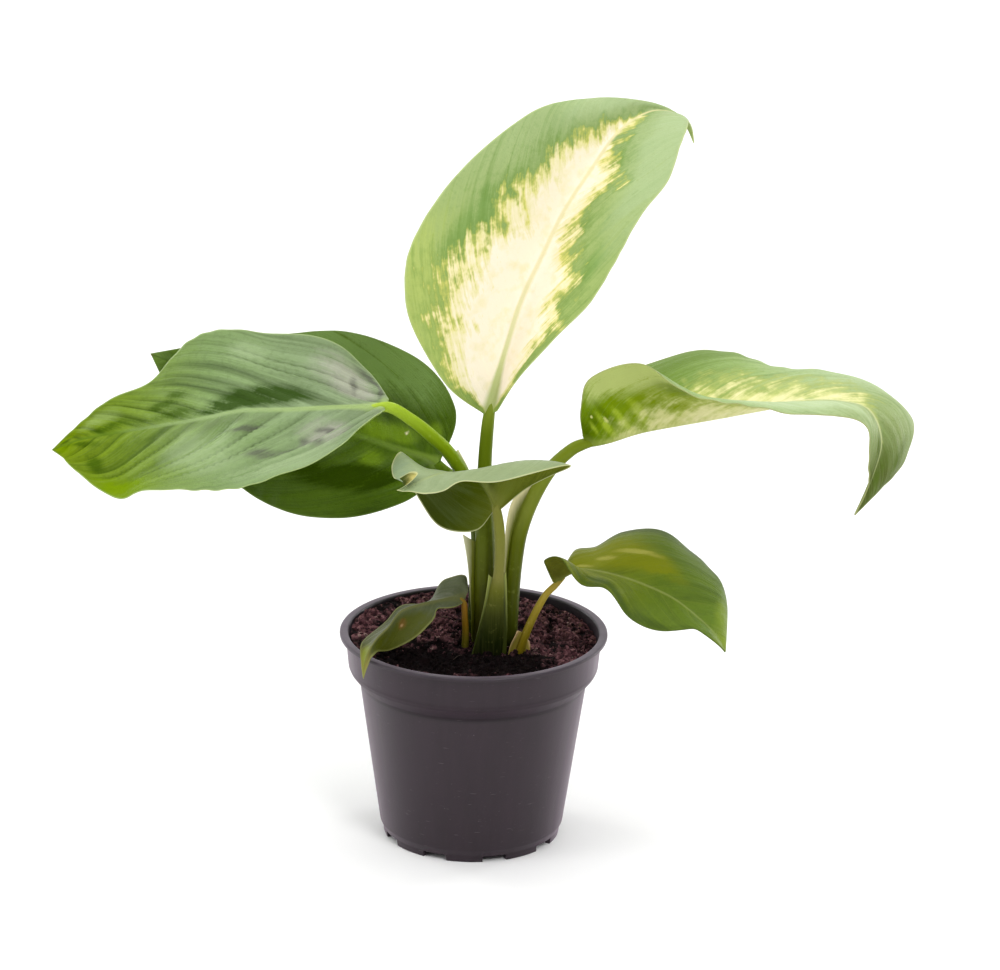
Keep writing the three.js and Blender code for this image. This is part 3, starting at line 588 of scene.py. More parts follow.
blade(
    "leaf_front",
    [[(7, -12, 119.2), (8.8, -13, 119.8), (5.6, -10.4, 117.2)],
     [(6, -13, 124), (17, -13, 127), (1, -9, 111)], [(4, -14, 128), (26, -18, 134), (-6, -6, 109)],
     [(1, -18, 133), (31, -24, 139), (-13, -2, 110)], [(-4, -22, 135), (19, -31, 138.4), (-18, 2, 117)],
     [(-10, -25, 136), (7, -35, 137.2), (-22, 2, 125)],
     [(-15, -28, 135.4), (-4, -36, 137), (-24.7, -6, 136.2)],
     [(-18.6, -29.6, 134.2), (-10, -36, 133.6), (-27.6, -15, 135.5)],
     [(-21.2, -31, 133.2), (-15, -36, 133.2), (-26.4, -23, 133.4)],
     [(-22.6, -32.2, 133), (-18.6, -36, 133), (-21.6, -26.5, 137)],
     [(-23.6, -33, 132.9), (-21.6, -35.4, 133), (-18.7, -29, 137.2)],
     [(-24.6, -33.7, 133), (-23.4, -34.8, 133), (-20.9, -32, 135.4)],
     [(-25.2, -34, 133.1), (-25.2, -34, 133.1), (-25.2, -34, 133.1)]],
    arch=(0.08, 0.1), wave=0.4, waves=4, keel=1.4,
    skin=cuticle(
        "leaf_front_green_cuticle", face=[(0.0, "#8c9c6c"), (0.5, "#8f9f74"), (1.0, "#90a074")],
        deep="#7a8c60", light="#a0ae82",
        rib=[(0.0, "#7c7e38"), (0.25, "#8a9450"), (0.6, "#9cab78"), (1.0, "#a8b480")], rim="#d6d9a0",
        # The underside's dark olive, darkest past the base, is partly its own colour and partly painted
        # shade.
        under=[(0.0, "#5c6612"), (0.22, "#3c4800"), (1.0, "#303c00")], patch=0.3, streak=0.2, gap=5.5,
        veins=0.15, vein="#8a9c70", gloss=0.45, film=(0.35, 0.3),
        tints=[
            ("under", "#6f7824", 0.7, [(0.08, -0.4, 0.1, 0.5), (0.23, -0.8, 0.1, 0.3)]),
            ("under", "#c2b86c", 0.95, [(0.88, 0.5, 0.13, 0.9)]),
            ("upper", "#d2cf98", 0.8,
             [(0.97, 0.2, 0.03, 0.9), (0.6, 1.0, 0.14, 0.05), (0.75, 1.0, 0.1, 0.1)]),
            ("upper", "#84987c", 0.6, [(0.6, 0.6, 0.08, 0.4)])],
    ),
    quilt=0.14, gap=5.5, rows=165, frill=0.2, calm=0.8,
)
blade(
    "leaf_right",
    [[(36, -6, 141), (37, -4, 143), (35, -8, 144)], [(43, -8, 143), (43, 14, 155), (34, -20, 157)],
     [(54, -9, 147), (56, 20, 160), (37, -27, 170)], [(67, -10, 150), (70, 24, 163), (53, -31, 176)],
     [(81, -11, 153), (86, 24, 163), (69, -34, 168)], [(94, -12, 156), (101, 21, 160), (85, -36, 164)],
     [(106, -14, 159), (118, 16, 159), (101, -36, 162)],
     [(119, -17, 160), (135, 8, 156), (116, -36, 162)],
     [(128, -20, 158), (144, -4, 150), (126, -33, 156)],
     [(132, -24, 149), (140, -16, 139), (128, -30, 143)],
     [(129, -27, 137), (132, -25, 132), (128, -29, 135)],
     [(124, -29, 125), (124, -29, 125), (124, -29, 125)]],
    arch=(0.09, 0.07), wave=0.8, waves=4, keel=1.6,
    skin=cuticle(
        "leaf_right_variegated_cuticle",
        face=[(0.0, "#6c8820"), (0.26, "#718e34"), (0.4, "#94ae66"), (0.6, "#a4b884"), (0.74, "#8fa066"),
              (0.87, "#4d5a1a"), (1.0, "#434e14")],
        deep="#5c7a2a", light="#b2c288",
        rib=[(0.0, "#8c9c3c"), (0.4, "#d6d69c"), (0.8, "#b4bc84"), (1.0, "#6a7838")], rim="#a4a872",
        under=[(0.0, "#5c7600"), (0.15, "#6c8600"), (0.3, "#7c8e14"), (0.45, "#9aa24c"), (0.8, "#94a258"),
               (1.0, "#4c5a20")],
        cream=("#cace74", "#ece4b8", 1.1, 0.26, 0.88, 0.62), patch=0.4, streak=0.2, gap=7.0, veins=0.25,
        vein="#6c8838", gloss=0.4, film=(0.2, 0.14),
        tints=[
            ("under", "#b8c478", 0.8, [(0.2, 0.92, 0.07, 0.3), (0.29, 0.84, 0.08, 0.3)]),
            # Painted light: lime streaks along the side veins where light shines through the blade.
            ("under", "#b0c43c", 0.6,
             [(0.12, 0.3, 0.012, 0.3), (0.165, 0.25, 0.01, 0.25), (0.08, 0.45, 0.01, 0.2),
              (0.21, 0.3, 0.012, 0.2)]),
            ("under", "#4c6200", 0.6,
             [(0.04, 0.7, 0.03, 0.4), (0.1, 0.6, 0.015, 0.2), (0.14, 0.45, 0.01, 0.3),
              (0.03, 0.2, 0.02, 0.3), (0.3, 0.6, 0.04, 0.12)]),
            ("under", "#dcdc90", 0.9, [(0.13, 0.42, 0.006, 0.06), (0.1, 0.66, 0.005, 0.03)]),
            ("upper", "#50641c", 0.8,
             [(0.82, -0.7, 0.04, 0.12), (0.88, -0.3, 0.05, 0.2), (0.84, 0.3, 0.05, 0.2)]),
            ("upper", "#bccda0", 0.6, [(0.62, 0.45, 0.14, 0.3), (0.5, 0.6, 0.1, 0.3)]),
            ("upper", "#66822c", 0.7, [(0.2, -0.85, 0.1, 0.25), (0.33, -0.95, 0.1, 0.16)])],
    ),
    quilt=0.35, gap=7.0, rows=160,
    cream=((-0.3, -0.15, 0.1, 0.36, 0.32, 0.3, 0.16, -0.15, -0.6, -0.8),
           (-0.3, 0.0, 0.22, 0.4, 0.4, 0.1, -0.3, -0.6, -0.8, -0.8)),
)
blade(
    "leaf_low_right",
    [[(27, -14, 94), (28, -12, 95), (26, -17, 97)], [(29, -14, 97), (30, -8, 97), (23, -19, 104)],
     [(33, -14, 99), (33.2, -2, 101.6), (28, -23, 106)], [(40, -15, 99), (41, 3, 101), (35, -26, 99)],
     [(48, -17, 98), (49, 6, 106), (43, -29, 98)], [(57, -20, 96), (61, 6, 106), (51, -31, 89)],
     [(66, -24, 93), (72, 3, 101), (62, -33, 85)], [(74, -28, 88), (81, -6, 94), (73, -34, 86)],
     [(79, -31, 84), (84, -17, 88), (78, -34, 83)], [(83, -33, 78), (83, -33, 78), (83, -33, 78)]],
    arch=(0.09, 0.08), wave=0.7, waves=4, keel=1.2,
    skin=cuticle(
        "leaf_low_right_green_cuticle",
        face=[(0.0, "#787a1a"), (0.3, "#727a12"), (0.6, "#586c18"), (0.85, "#607826"), (1.0, "#8c9c3c")],
        deep="#435618", light="#6c8038", rib=[(0.0, "#868c44"), (0.6, "#828c48"), (1.0, "#7c8c3c")],
        rim="#4c5c24", under=[(0.0, "#5e5e1c"), (1.0, "#56641c")], patch=0.5, streak=0.12, gap=9.0,
        veins=0.22, vein="#7c8a30", gloss=0.36, film=(0.08, 0.14),
        tints=[
            ("upper", "#7c8008", 0.7,
             [(0.4, -0.5, 0.14, 0.32), (0.26, -0.3, 0.1, 0.2), (0.58, -0.35, 0.1, 0.14)]),
            ("upper", "#a8a450", 0.65,
             [(0.27, -0.16, 0.05, 0.05), (0.38, -0.36, 0.05, 0.05), (0.5, -0.48, 0.08, 0.04)]),
            ("upper", "#3e5018", 0.75,
             [(0.5, -0.95, 0.3, 0.1), (0.55, 0.9, 0.2, 0.14), (0.36, 0.75, 0.1, 0.2)]),
            ("upper", "#7c9030", 0.7, [(0.88, -0.5, 0.05, 0.3), (0.97, 0.0, 0.05, 0.5)])],
    ),
    quilt=0.18, gap=9.0, rows=130, frill=0.2, sweep=1.3, spine=0.9,
)
blade(
    "leaf_low_left",
    [[(-3, -8, 86), (-2, -6, 88), (-4, -10, 85)], [(-7, -10, 87), (-3, -2, 92), (-7, -14, 85)],
     [(-12, -13, 87), (-9, 0, 90), (-12, -18, 86)], [(-18, -17, 87), (-15, -5, 85), (-14, -20, 82)],
     [(-24, -21, 86), (-23, -10, 84), (-20, -22, 77)], [(-28, -25, 82), (-28, -15, 81), (-27, -26, 74)],
     [(-32, -29, 79), (-36, -21, 77), (-32, -30, 75)], [(-35, -32, 74), (-37, -30, 74), (-34, -33, 73)],
     [(-36, -34, 67), (-36, -34, 67), (-36, -34, 67)]],
    arch=(0.08, 0.08), wave=0.5, waves=3, keel=0.9,
    skin=cuticle(
        "leaf_low_left_dull_cuticle",
        face=[(0.0, "#565c42"), (0.45, "#48502e"), (0.8, "#464c16"), (1.0, "#98883a")], deep="#383c20",
        light="#666a4c", rib=[(0.0, "#5c6038"), (1.0, "#6c6c34")], rim="#86884c",
        under=[(0.0, "#3c4208"), (0.5, "#42440a"), (0.85, "#5a5410"), (1.0, "#a08c34")], patch=0.4,
        streak=0.2, gap=4.5, veins=0.2, vein="#666c44", gloss=0.48, film=(0.25, 0.25),
        tints=[
            ("upper", "#464c00", 1.0,
             [(0.42, 0.75, 0.09, 0.4), (0.55, 0.65, 0.12, 0.5), (0.68, 0.7, 0.1, 0.5)]),
            ("upper", "#7a8426", 0.8, [(0.86, -0.3, 0.07, 0.5), (0.97, 0.0, 0.07, 1.0)]),
            ("upper", "#6c4c18", 0.7, [(0.52, 0.42, 0.03, 0.16)]),
            ("upper", "#a8885c", 0.7, [(0.525, 0.46, 0.01, 0.05)]),
            ("under", "#8c8430", 0.7, [(0.92, 0.3, 0.05, 0.6)])],
    ),
    quilt=0.15, gap=4.5, rows=110, frill=0.5,
)

SKIN_GREEN = membrane("sheath_green_membrane", "#626814", "#d0cea8", -0.2)
SKIN_FRONT = membrane("sheath_dark_membrane", "#303806", "#868e44", -0.2)
SKIN_PALE = membrane("sheath_cream_membrane", "#7c8438", "#c8c890", -0.1)
SKIN_WING = membrane("sheath_wing_membrane", "#5e6612", "#dcd4a4", -0.12)
SKIN_BROWN = membrane("sheath_dry_membrane", "#84782c", "#cdae80", -0.2)

# Each stalk's darkest colours, just above the soil, are painted shade.
stalk(
    "leaf_top",
    [(4, -5, 52, 3.8, 3.6), (4, -5, 66, 3.8, 3.7), (3.6, -5, 85, 3.6, 3.6), (3.4, -4.2, 104, 3.3, 3.3),
     (3, -3, 119, 2.6, 2.6), (3, -2, 133, 2.3, 2.3), (4, 0, 147, 2, 2), (5.6, 2.6, 156, 1.1, 0.8)],
    [(0.15, "#343008"), (0.24, "#44460a"), (0.4, "#505a0c"), (0.6, "#566608"), (0.8, "#60720a"),
     (1.0, "#8c9a38")],
    "#6c7828",
)
sheath(
    "leaf_top_sheath", [(3, -5, 70), (2.5, -5, 85), (2, -4.5, 97), (1.5, -4, 104)],
    [(-0.4, -6.5, 70), (-1.3, -7, 85), (-2.2, -6.5, 97), (-4, -5.5, 108)], SKIN_GREEN,
)
stalk(
    "leaf_left",
    [(0, 4, 52, 2.6, 2.4), (0, 4, 66, 2.6, 2.4), (1, 4.5, 90, 2.6, 2.4), (1, 4, 106, 2.5, 2.4),
     (-1.5, 1.5, 121, 2.4, 2.3), (-8, -2, 134, 2.3, 2.2), (-15, -4, 142, 2.2, 2.1), (-22, -5, 148, 2, 2),
     (-29, -5.3, 152, 1.8, 1.8), (-37, -5, 150.8, 1.0, 0.8)],
    [(0.1, "#141804"), (0.2, "#34400a"), (0.4, "#52620a"), (0.6, "#7c9606"), (0.85, "#94b028"),
     (1.0, "#aec648")],
    "#a8bc54",
)
sheath(
    "leaf_left_sheath", [(-2, 1, 122), (-5, -0.6, 129), (-8.4, -2, 134)],
    [(-0.4, 1.2, 123), (-2.8, -0.2, 130), (-6, -1.4, 136.4)], SKIN_PALE, curl=0.4,
)
stalk(
    "leaf_back_left",
    [(5, 8.6, 52, 2.4, 2.2), (5, 9, 66, 2.4, 2.2), (4, 10.4, 84, 2.4, 2.2), (2, 11.4, 101, 2.3, 2.2),
     (-3, 11.4, 114, 2.2, 2.1), (-7.8, 11.2, 121.8, 2, 2), (-11.7, 11.2, 125.6, 1.8, 1.7),
     (-15, 16.2, 128, 1.0, 0.8)],
    [(0.1, "#141804"), (0.2, "#2c360a"), (0.5, "#4c5c08"), (1.0, "#5c780c")], "#7a9038",
)
stalk(
    "leaf_front",
    [(5, -12.6, 52, 5.6, 2.2), (5, -12.6, 66, 5.6, 2.2), (6.4, -12.9, 79, 4.4, 2.1),
     (7.6, -13, 91, 2.9, 2), (8.2, -13, 97, 1.9, 1.8), (8.4, -13, 106, 1.8, 1.7),
     (8, -12.4, 113, 1.8, 1.6), (7.3, -12, 118, 1.6, 1.5), (6.4, -12.4, 123, 1.0, 0.8)],
    [(0.13, "#060802"), (0.2, "#182004"), (0.28, "#2e3406"), (0.38, "#5c6018"), (0.48, "#787638"),
     (0.7, "#767830"), (1.0, "#7c7e34")],
    "#8c8e4c",
)
sheath(
    "leaf_front_sheath_left", [(3.6, -13.6, 68), (5, -13.6, 78), (6.6, -13.6, 88), (7.6, -13.4, 94)],
    [(-0.6, -13.6, 68), (1.6, -14, 78), (3.6, -14.4, 88), (4.8, -14.2, 97)], SKIN_FRONT, curl=0.3,
    rows=90,
)
sheath(
    "leaf_front_sheath_right", [(7.4, -13.6, 68), (8, -13.6, 78), (8.6, -13.6, 88), (8.8, -13.2, 94)],
    [(11, -13.2, 68), (11.2, -13.6, 78), (11, -14, 88), (10.6, -13.8, 98)], SKIN_FRONT, curl=0.3,
    rows=90,
)
stalk(
    "leaf_right",
    [(12, -7, 52, 2.5, 2.5), (12, -7, 66, 2.5, 2.5), (12.4, -6.6, 85, 2.6, 2.5), (13.4, -6, 99, 2.6, 2.4),
     (15.1, -6, 110, 2.6, 2.4), (18.9, -6, 121, 2.5, 2.4), (24.4, -6, 131, 2.3, 2.2),
     (30.6, -6, 137.6, 2.1, 2.1), (35.3, -6.2, 140.4, 1.9, 1.9), (42, -7.4, 142.4, 1.0, 0.8)],
    [(0.1, "#101402"), (0.2, "#3e4604"), (0.4, "#566006"), (0.52, "#727c28"), (0.75, "#6c7a1c"),
     (1.0, "#6a7a10")],
    "#808c3c",
)
sheath(
    "leaf_right_sheath",
    [(12.4, -6.8, 70), (12.6, -6.8, 85), (13.4, -6.6, 99), (15.4, -6.6, 111), (18.2, -6.6, 119),
     (21, -6.4, 124.6)],
    [(9.6, -8.2, 70), (9.6, -8.4, 84), (9.9, -8.4, 98), (10.2, -8.4, 111), (12.2, -8.4, 121),
     (17.6, -7.6, 127)],
    SKIN_WING, curl=0.9, rows=110,
)
stalk(
    "leaf_low_right",
    [(15, -13, 52, 2, 1.8), (15, -13, 66, 1.8, 1.7), (16.2, -13, 72, 1.5, 1.5),
     (18.6, -13, 79, 1.35, 1.35), (21.6, -13.6, 86, 1.25, 1.25), (24, -14, 90.4, 1.15, 1.15),
     (26.8, -14, 93.4, 1.1, 1.1), (29.6, -14, 96.4, 0.7, 0.6)],
    [(0.14, "#564806"), (0.35, "#76680e"), (0.6, "#94822c"), (1.0, "#9e8c38")], "#b8a868",
)
sheath(
    "leaf_low_right_sheath", [(15.6, -13, 69.5), (16, -13, 72), (16.8, -13, 76)],
    [(11.4, -14.2, 67), (12.2, -14.8, 72), (14.6, -14.8, 77.4)], SKIN_BROWN, curl=0.7,
)
sheath(
    "leaf_low_right_sheath_back", [(16.6, -13, 68), (17, -13, 71), (17.8, -13, 74.6)],
    [(18.4, -13.4, 67), (18.9, -13.6, 70.6), (18.6, -13.4, 73.6)], SKIN_BROWN, curl=0.5,
)
stalk(
    "leaf_low_left",
    [(-2.8, -8.4, 52, 1.4, 1.4), (-2.8, -8.4, 66, 1.3, 1.3), (-2.7, -8.6, 74, 1.15, 1.15),
     (-3, -8.8, 80, 1.05, 1.05), (-3.3, -8.4, 84.4, 1, 1), (-4.4, -9, 86.4, 0.6, 0.5)],
    [(0.2, "#3c4008"), (0.36, "#5e5410"), (0.5, "#74580e"), (0.75, "#845e16"), (1.0, "#7c6c28")],
    "#9c8444",
)


# Compost

# The soil's radius under the pot's lip.
SOIL = 41.3


def bed(x, y):
    """Height of the compost before its crumbs: level, falling to the right and to the front, less a
    hollow in front on the left, plus a low bank on the right and slow waves."""
    hollow = 4.5 * np.exp(-((x + 16) / 15) ** 2 - ((y + 19) / 11) ** 2)
    bank = 1.2 * np.exp(-((x - 20) / 16) ** 2 - ((y + 22) / 14) ** 2)
    slow = 0.55 * np.sin(x * 0.71 + 1.3 * np.sin(y * 0.43)) * np.sin(y * 0.83 + 0.9 * np.sin(x * 0.37))
    return 69.4 + (y * 0.3 - x * 0.5) * 0.07 - hollow + bank + slow


def crumbly(x, y):
    """Height of the crumbs over the bed: hills of 2.6, 1.15 and 0.7 mm from value noise, the two
    larger ones bent by the square root of their size so that tops are round and gaps are narrow."""
    coarse, middle, fine = (value_noise(x, y, size, seed) for size, seed in ((2.6, 3), (1.15, 5), (0.7, 7)))
    tall = 0.75 * np.sign(coarse) * np.sqrt(np.abs(coarse)) + 0.45 * np.sqrt(np.abs(middle))
    return tall + 0.22 * np.abs(fine) - 0.35


def painted_soil_shade(x, y):
    """How much painted shade darkens the compost: from 0 to 1, most in the hollow and in front of the stems,
    and uneven by a quarter over patches of 4.5 mm."""
    hollow = np.exp(-((x + 17) / 15) ** 2 - ((y + 19) / 12) ** 2)
    front = np.exp(-((x - 8) / 22) ** 2 - ((y + 26) / 9) ** 2)
    return np.minimum(1, hollow * 1.2 + front) - 0.25 * value_noise(x, y, 4.5, 9)


def compost_plug(material):
    """Compost as a function of two numbers a and b from -1 to 1, laid on a disc: the larger of the two
    is the radius and their ratio the angle. The rim of the disc is carried down the pot's wall and
    drawn together under it, where one flat face closes it."""
    count = 250
    a, b = np.meshgrid(np.linspace(-1, 1, count), np.linspace(-1, 1, count), indexing="ij")
    more = np.abs(a) >= np.abs(b)
    turn = np.where(more, math.pi / 4 * b / np.where(more, np.where(a == 0, 1, a), 1),
                    math.pi / 2 - math.pi / 4 * a / np.where(more, 1, np.where(b == 0, 1, b)))
    radius = np.where(more, a, b) * SOIL
    x, y = radius * np.cos(turn), radius * np.sin(turn)
    lump = crumbly(x, y)
    z = bed(x, y) + lump * (1 - step(np.maximum(np.abs(a), np.abs(b)), 0.97, 1.0))
    top = np.stack([x, y, z], -1).reshape(-1, 3)
    ring = border(count, count)
    # Radius and height of each ring down the wall, round the floor's edge and in to the middle.
    levels = [(40.5, 60.2), (39.8, 59.2), (37.8, 58.1), (36.7, 54.8), (29.4, 4.9), (29, 3.9), (0.4, 3.9)]
    around = top[ring][:, :2] / SOIL
    wall = [np.concatenate([around * r, np.full((len(ring), 1), high)], 1) for r, high in levels]
    points = np.concatenate([top, *wall])
    chain = np.concatenate([ring, np.arange(len(top), len(points))]).reshape(-1, len(ring))
    ahead = np.roll(chain, -1, axis=1)
    side = np.stack([chain[:-1], chain[1:], ahead[1:], ahead[:-1]], -1).reshape(-1, 4)
    faces = [np.concatenate([quads(count, count, back=True), side]), chain[-1:]]
    # The crumbs' height less the painted shade of the hollow and front, by which the material paints shade
    # in gaps and hollows.
    shade = np.concatenate([(lump - 1.9 * painted_soil_shade(x, y)).ravel(), np.zeros(len(points) - len(top))])
    return piece("compost_bed", "compost", points, faces, material, {"lump": shade})


def loose_crumbs(material, count=1900):
    """Loose crumbs as one mesh: a ball of 6 by 4 faces for each, its points pushed in and out at
    random, stretched, turned about Z, and sunk a third of its size into the bed."""
    rng = np.random.default_rng(11)
    lat = np.array([-0.92, -0.4, 0.25, 0.8])
    lon = np.linspace(0, 2 * math.pi, 6, endpoint=False)
    la, lo = np.meshgrid(lat, lon, indexing="ij")
    flat = np.sqrt(1 - la ** 2)
    ball = np.stack([flat * np.cos(lo), flat * np.sin(lo), la], -1).reshape(-1, 3)
    ball = np.concatenate([ball, [[0, 0, -1.0], [0, 0, 1.0]]])
    radius = (SOIL - 1) * np.sqrt(rng.random(count))
    angle = rng.random(count) * 2 * math.pi
    x, y = radius * np.cos(angle), radius * np.sin(angle)
    size = 0.28 + 0.72 * rng.random(count) ** 2.6
    spin = rng.random(count) * 2 * math.pi
    stretch = rng.uniform(0.7, 1.35, (count, 1, 3))
    push = rng.uniform(0.72, 1.25, (count, len(ball), 1))
    body = ball[None] * push * stretch * size[:, None, None]
    c, s = np.cos(spin)[:, None], np.sin(spin)[:, None]
    across, deep, up = np.moveaxis(body, -1, 0)
    turned = np.stack([across * c - deep * s, across * s + deep * c, up], -1)
    z = bed(x, y) + crumbly(x, y) + size * 0.25
    points = (turned + np.stack([x, y, z], -1)[:, None]).reshape(-1, 3)
    j = np.arange(6)
    k = (j + 1) % 6
    ends = np.concatenate([np.stack([k, j, j * 0 + 24], -1), np.stack([j + 18, k + 18, j * 0 + 25], -1)])
    shift = (np.arange(count) * len(ball))[:, None, None]
    faces = [(quads(4, 6, closed=True) + shift).reshape(-1, 4), (ends + shift).reshape(-1, 3)]
    # A random tone for each crumb, less the painted shade of the hollow and front.
    lump = np.repeat(rng.uniform(-0.5, 1.0, count) - 1.9 * painted_soil_shade(x, y), len(ball))
    values = {"lump": lump}
    return piece("compost_crumbs", "compost", points, faces, material, values, only=False, smooth=False)


def root_fibres(material, count=12):
    """Dry root fibres as one mesh: each a function of t along it and an angle round it, an arc lying on
    the bed that turns by the sine of t, four faces round and tapered to both ends."""
    rng = np.random.default_rng(23)
    t = np.linspace(0, 1, 9)[None]
    lean = rng.random(count) * 2 * math.pi
    x0, y0 = rng.uniform(-26, 28, count), rng.uniform(-27, 22, count)
    # The two that the photograph shows most plainly.
    x0[:2], y0[:2], lean[:2] = (-18.5, 11.5), (-29.5, -10.5), (2.5, 1.1)
    length = rng.uniform(3, 7, count)[:, None]
    turn = lean[:, None] + rng.uniform(-1.2, 1.2, (count, 1)) * np.sin(2.5 * t)
    x = x0[:, None] + length * (t - 0.5) * np.cos(turn)
    y = y0[:, None] + length * (t - 0.5) * np.sin(turn)
    line = np.stack([x, y, bed(x, y) + 0.75 + 0.5 * np.sin(3 * t + lean[:, None])], -1)
    thick = 0.1 * np.sqrt(np.sin(math.pi * (0.04 + 0.92 * t)))[..., None]
    across = np.stack([-np.sin(turn), np.cos(turn), 0 * turn], -1)
    up = np.array([0, 0, 1.0])
    angles = np.linspace(0, 2 * math.pi, 4, endpoint=False)
    points = np.stack([line + thick * (across * math.cos(a) + up * math.sin(a)) for a in angles], 2)
    every = np.concatenate([quads(9, 4, closed=True), [[3, 2, 1, 0], [32, 33, 34, 35]]])
    faces = (every + (np.arange(count) * 36)[:, None, None]).reshape(-1, 4)
    return piece("compost_root_fibres", "compost", points.reshape(-1, 3), [faces], material, only=False)


def peat():
    """Potting compost: peat and bark crumbs, rough and without any shine, so each crumb shows by
    its own tone and by the dark gap beside it, which is painted shade, as is the darkness of the hollow and
    of the soil in front of the stems."""
    made, new, finish = substance("peat_compost_crumb")
    spot = new("TexCoord", out="Object")
    lump = new("Attribute", attribute_name="lump", out="Fac")
    # Crumbs of 1 mm and grit of 0.3 mm.
    crumbs = new("TexVoronoi", Vector=spot, Scale=1000.0)
    grit = new("TexNoise", Vector=spot, Scale=2000.0, Detail=4.0, Roughness=0.7)
    shade = new("ValToRGB", crumbs.node.outputs["Color"], stops=[
        (0.0, "#1c0e12"), (0.3, "#42262b"), (0.6, "#664147"), (0.85, "#886063"), (1.0, "#b49c92")])
    spotted = new("Mix", new("MapRange", grit, 0.62, 0.72, 0.0, 0.6), shade, "#a08878")
    height = new("Math.MULTIPLY_ADD", crumbs, -0.8, grit)
    # Painted shade: where lump is low, in the gaps between crumbs, in the hollow and in front of the stems,
    # the colour runs to near black.
    finish({
        "Base Color": new("Mix", new("MapRange", lump, -0.65, 0.42, 0.97, 0.0), spotted, "#060303"),
        "Roughness": 0.9, "Specular IOR Level": 0.08,
        "Normal": new("Bump", Height=height, Strength=0.9, Distance=0.0007),
    })
    return made


def dry_fibre():
    """Dead root: dry, pale and dull, so it stands out as a thin light line on the compost."""
    made, new, finish = substance("dry_root_fibre")
    # Stains about 3 mm across.
    stain = new("TexNoise", Vector=new("TexCoord", out="Object"), Scale=300.0)
    tone = new("ValToRGB", stain, stops=[(0.35, "#2c201a"), (0.65, "#7a6858")])
    finish({"Base Color": tone, "Roughness": 0.8})
    return made


PEAT = peat()
compost_plug(PEAT)
loose_crumbs(PEAT)
root_fibres(dry_fibre())


# Pot

# The foot ring's mean radius, and its nine notches' width, height and spacing in degrees.
FOOT = 29
NOTCH_WIDTH = 8
NOTCH_HEIGHT = 2.2
NOTCHES = np.arange(-114.0, 246.0, 40)
# Radius and height round the pot's section, from the inner ring of its floor's underside.
SECTION = [
    (14, 2.4), (27.8, 2.4), (28, 0), (29.7, 0), (30, 2.4), (31, 4.6),
    (38.2, 54.4), (38.8, 55.4), (41.4, 58.6), (42, 60), (43, 70.4),
    (45, 70.6), (45, 71.5), (44.6, 71.8), (42.4, 71.8), (42, 71.3),
    (40.9, 60), (40.4, 59), (38.8, 57.9), (37.8, 56.9), (37.1, 54.8),
    (29.8, 4.6), (29.2, 3.6), (14, 3.6),
]


def softened(outline, cut=0.35):
    """A closed outline with each corner rounded: the corner is replaced by the curve of second degree
    between two points on its sides, at most cut mm or a third of the side away from it."""
    p = np.asarray(outline, float)
    start, stop = (
        p + way * np.minimum(cut / np.maximum(np.linalg.norm(way, axis=1), 1e-9), 0.33)[:, None]
        for way in (np.roll(p, 1, axis=0) - p, np.roll(p, -1, axis=0) - p))
    t = np.linspace(0, 1, 3)[None, :, None]
    curve = start[:, None] * (1 - t) ** 2 + 2 * p[:, None] * t * (1 - t) + stop[:, None] * t ** 2
    return curve.reshape(-1, 2)


def moulded_pot(material):
    """Pot as a function of place round its section and of the angle about Z: the section turned about
    the axis. In each notch no point of the foot ring is lower than the notch's height. The two rings
    in the floor where the section starts and ends are closed by one face each."""
    line = softened(SECTION)
    half = math.degrees(NOTCH_WIDTH / 2 / FOOT)
    # Two columns of points 0.24 degrees apart at each side of a notch, and one every 1.5 degrees.
    sides = [NOTCHES + side * half + by for side in (-1, 1) for by in (-0.12, 0.12)]
    turns = np.unique(np.round(np.concatenate([np.arange(0, 360, 1.5), *sides]) % 360, 4))
    off = np.abs((turns[:, None] - NOTCHES[None] + 180) % 360 - 180).min(1)
    notched = (off < half).astype(float)[:, None]
    angle = np.radians(turns)[:, None]
    r = line[None, :, 0] + 0 * angle
    z = line[None, :, 1] + 0 * angle
    foot = (r > 27.5) & (z < NOTCH_HEIGHT) & (r < 30.5)
    z = np.where(foot, np.maximum(z, NOTCH_HEIGHT * notched), z)
    points = np.stack([r * np.cos(angle), r * np.sin(angle), z], -1)
    number = np.arange(r.size).reshape(r.shape)
    ahead = np.roll(number, -1, axis=0)
    wall = np.stack([number[:, :-1], number[:, 1:], ahead[:, 1:], ahead[:, :-1]], -1).reshape(-1, 4)
    faces = [wall, number[::-1, 0][None], number[:, -1][None]]
    made = piece("pot_moulding", "pot", points.reshape(-1, 3), faces, material)
    made.data.set_sharp_from_angle(angle=math.radians(40))
    return made


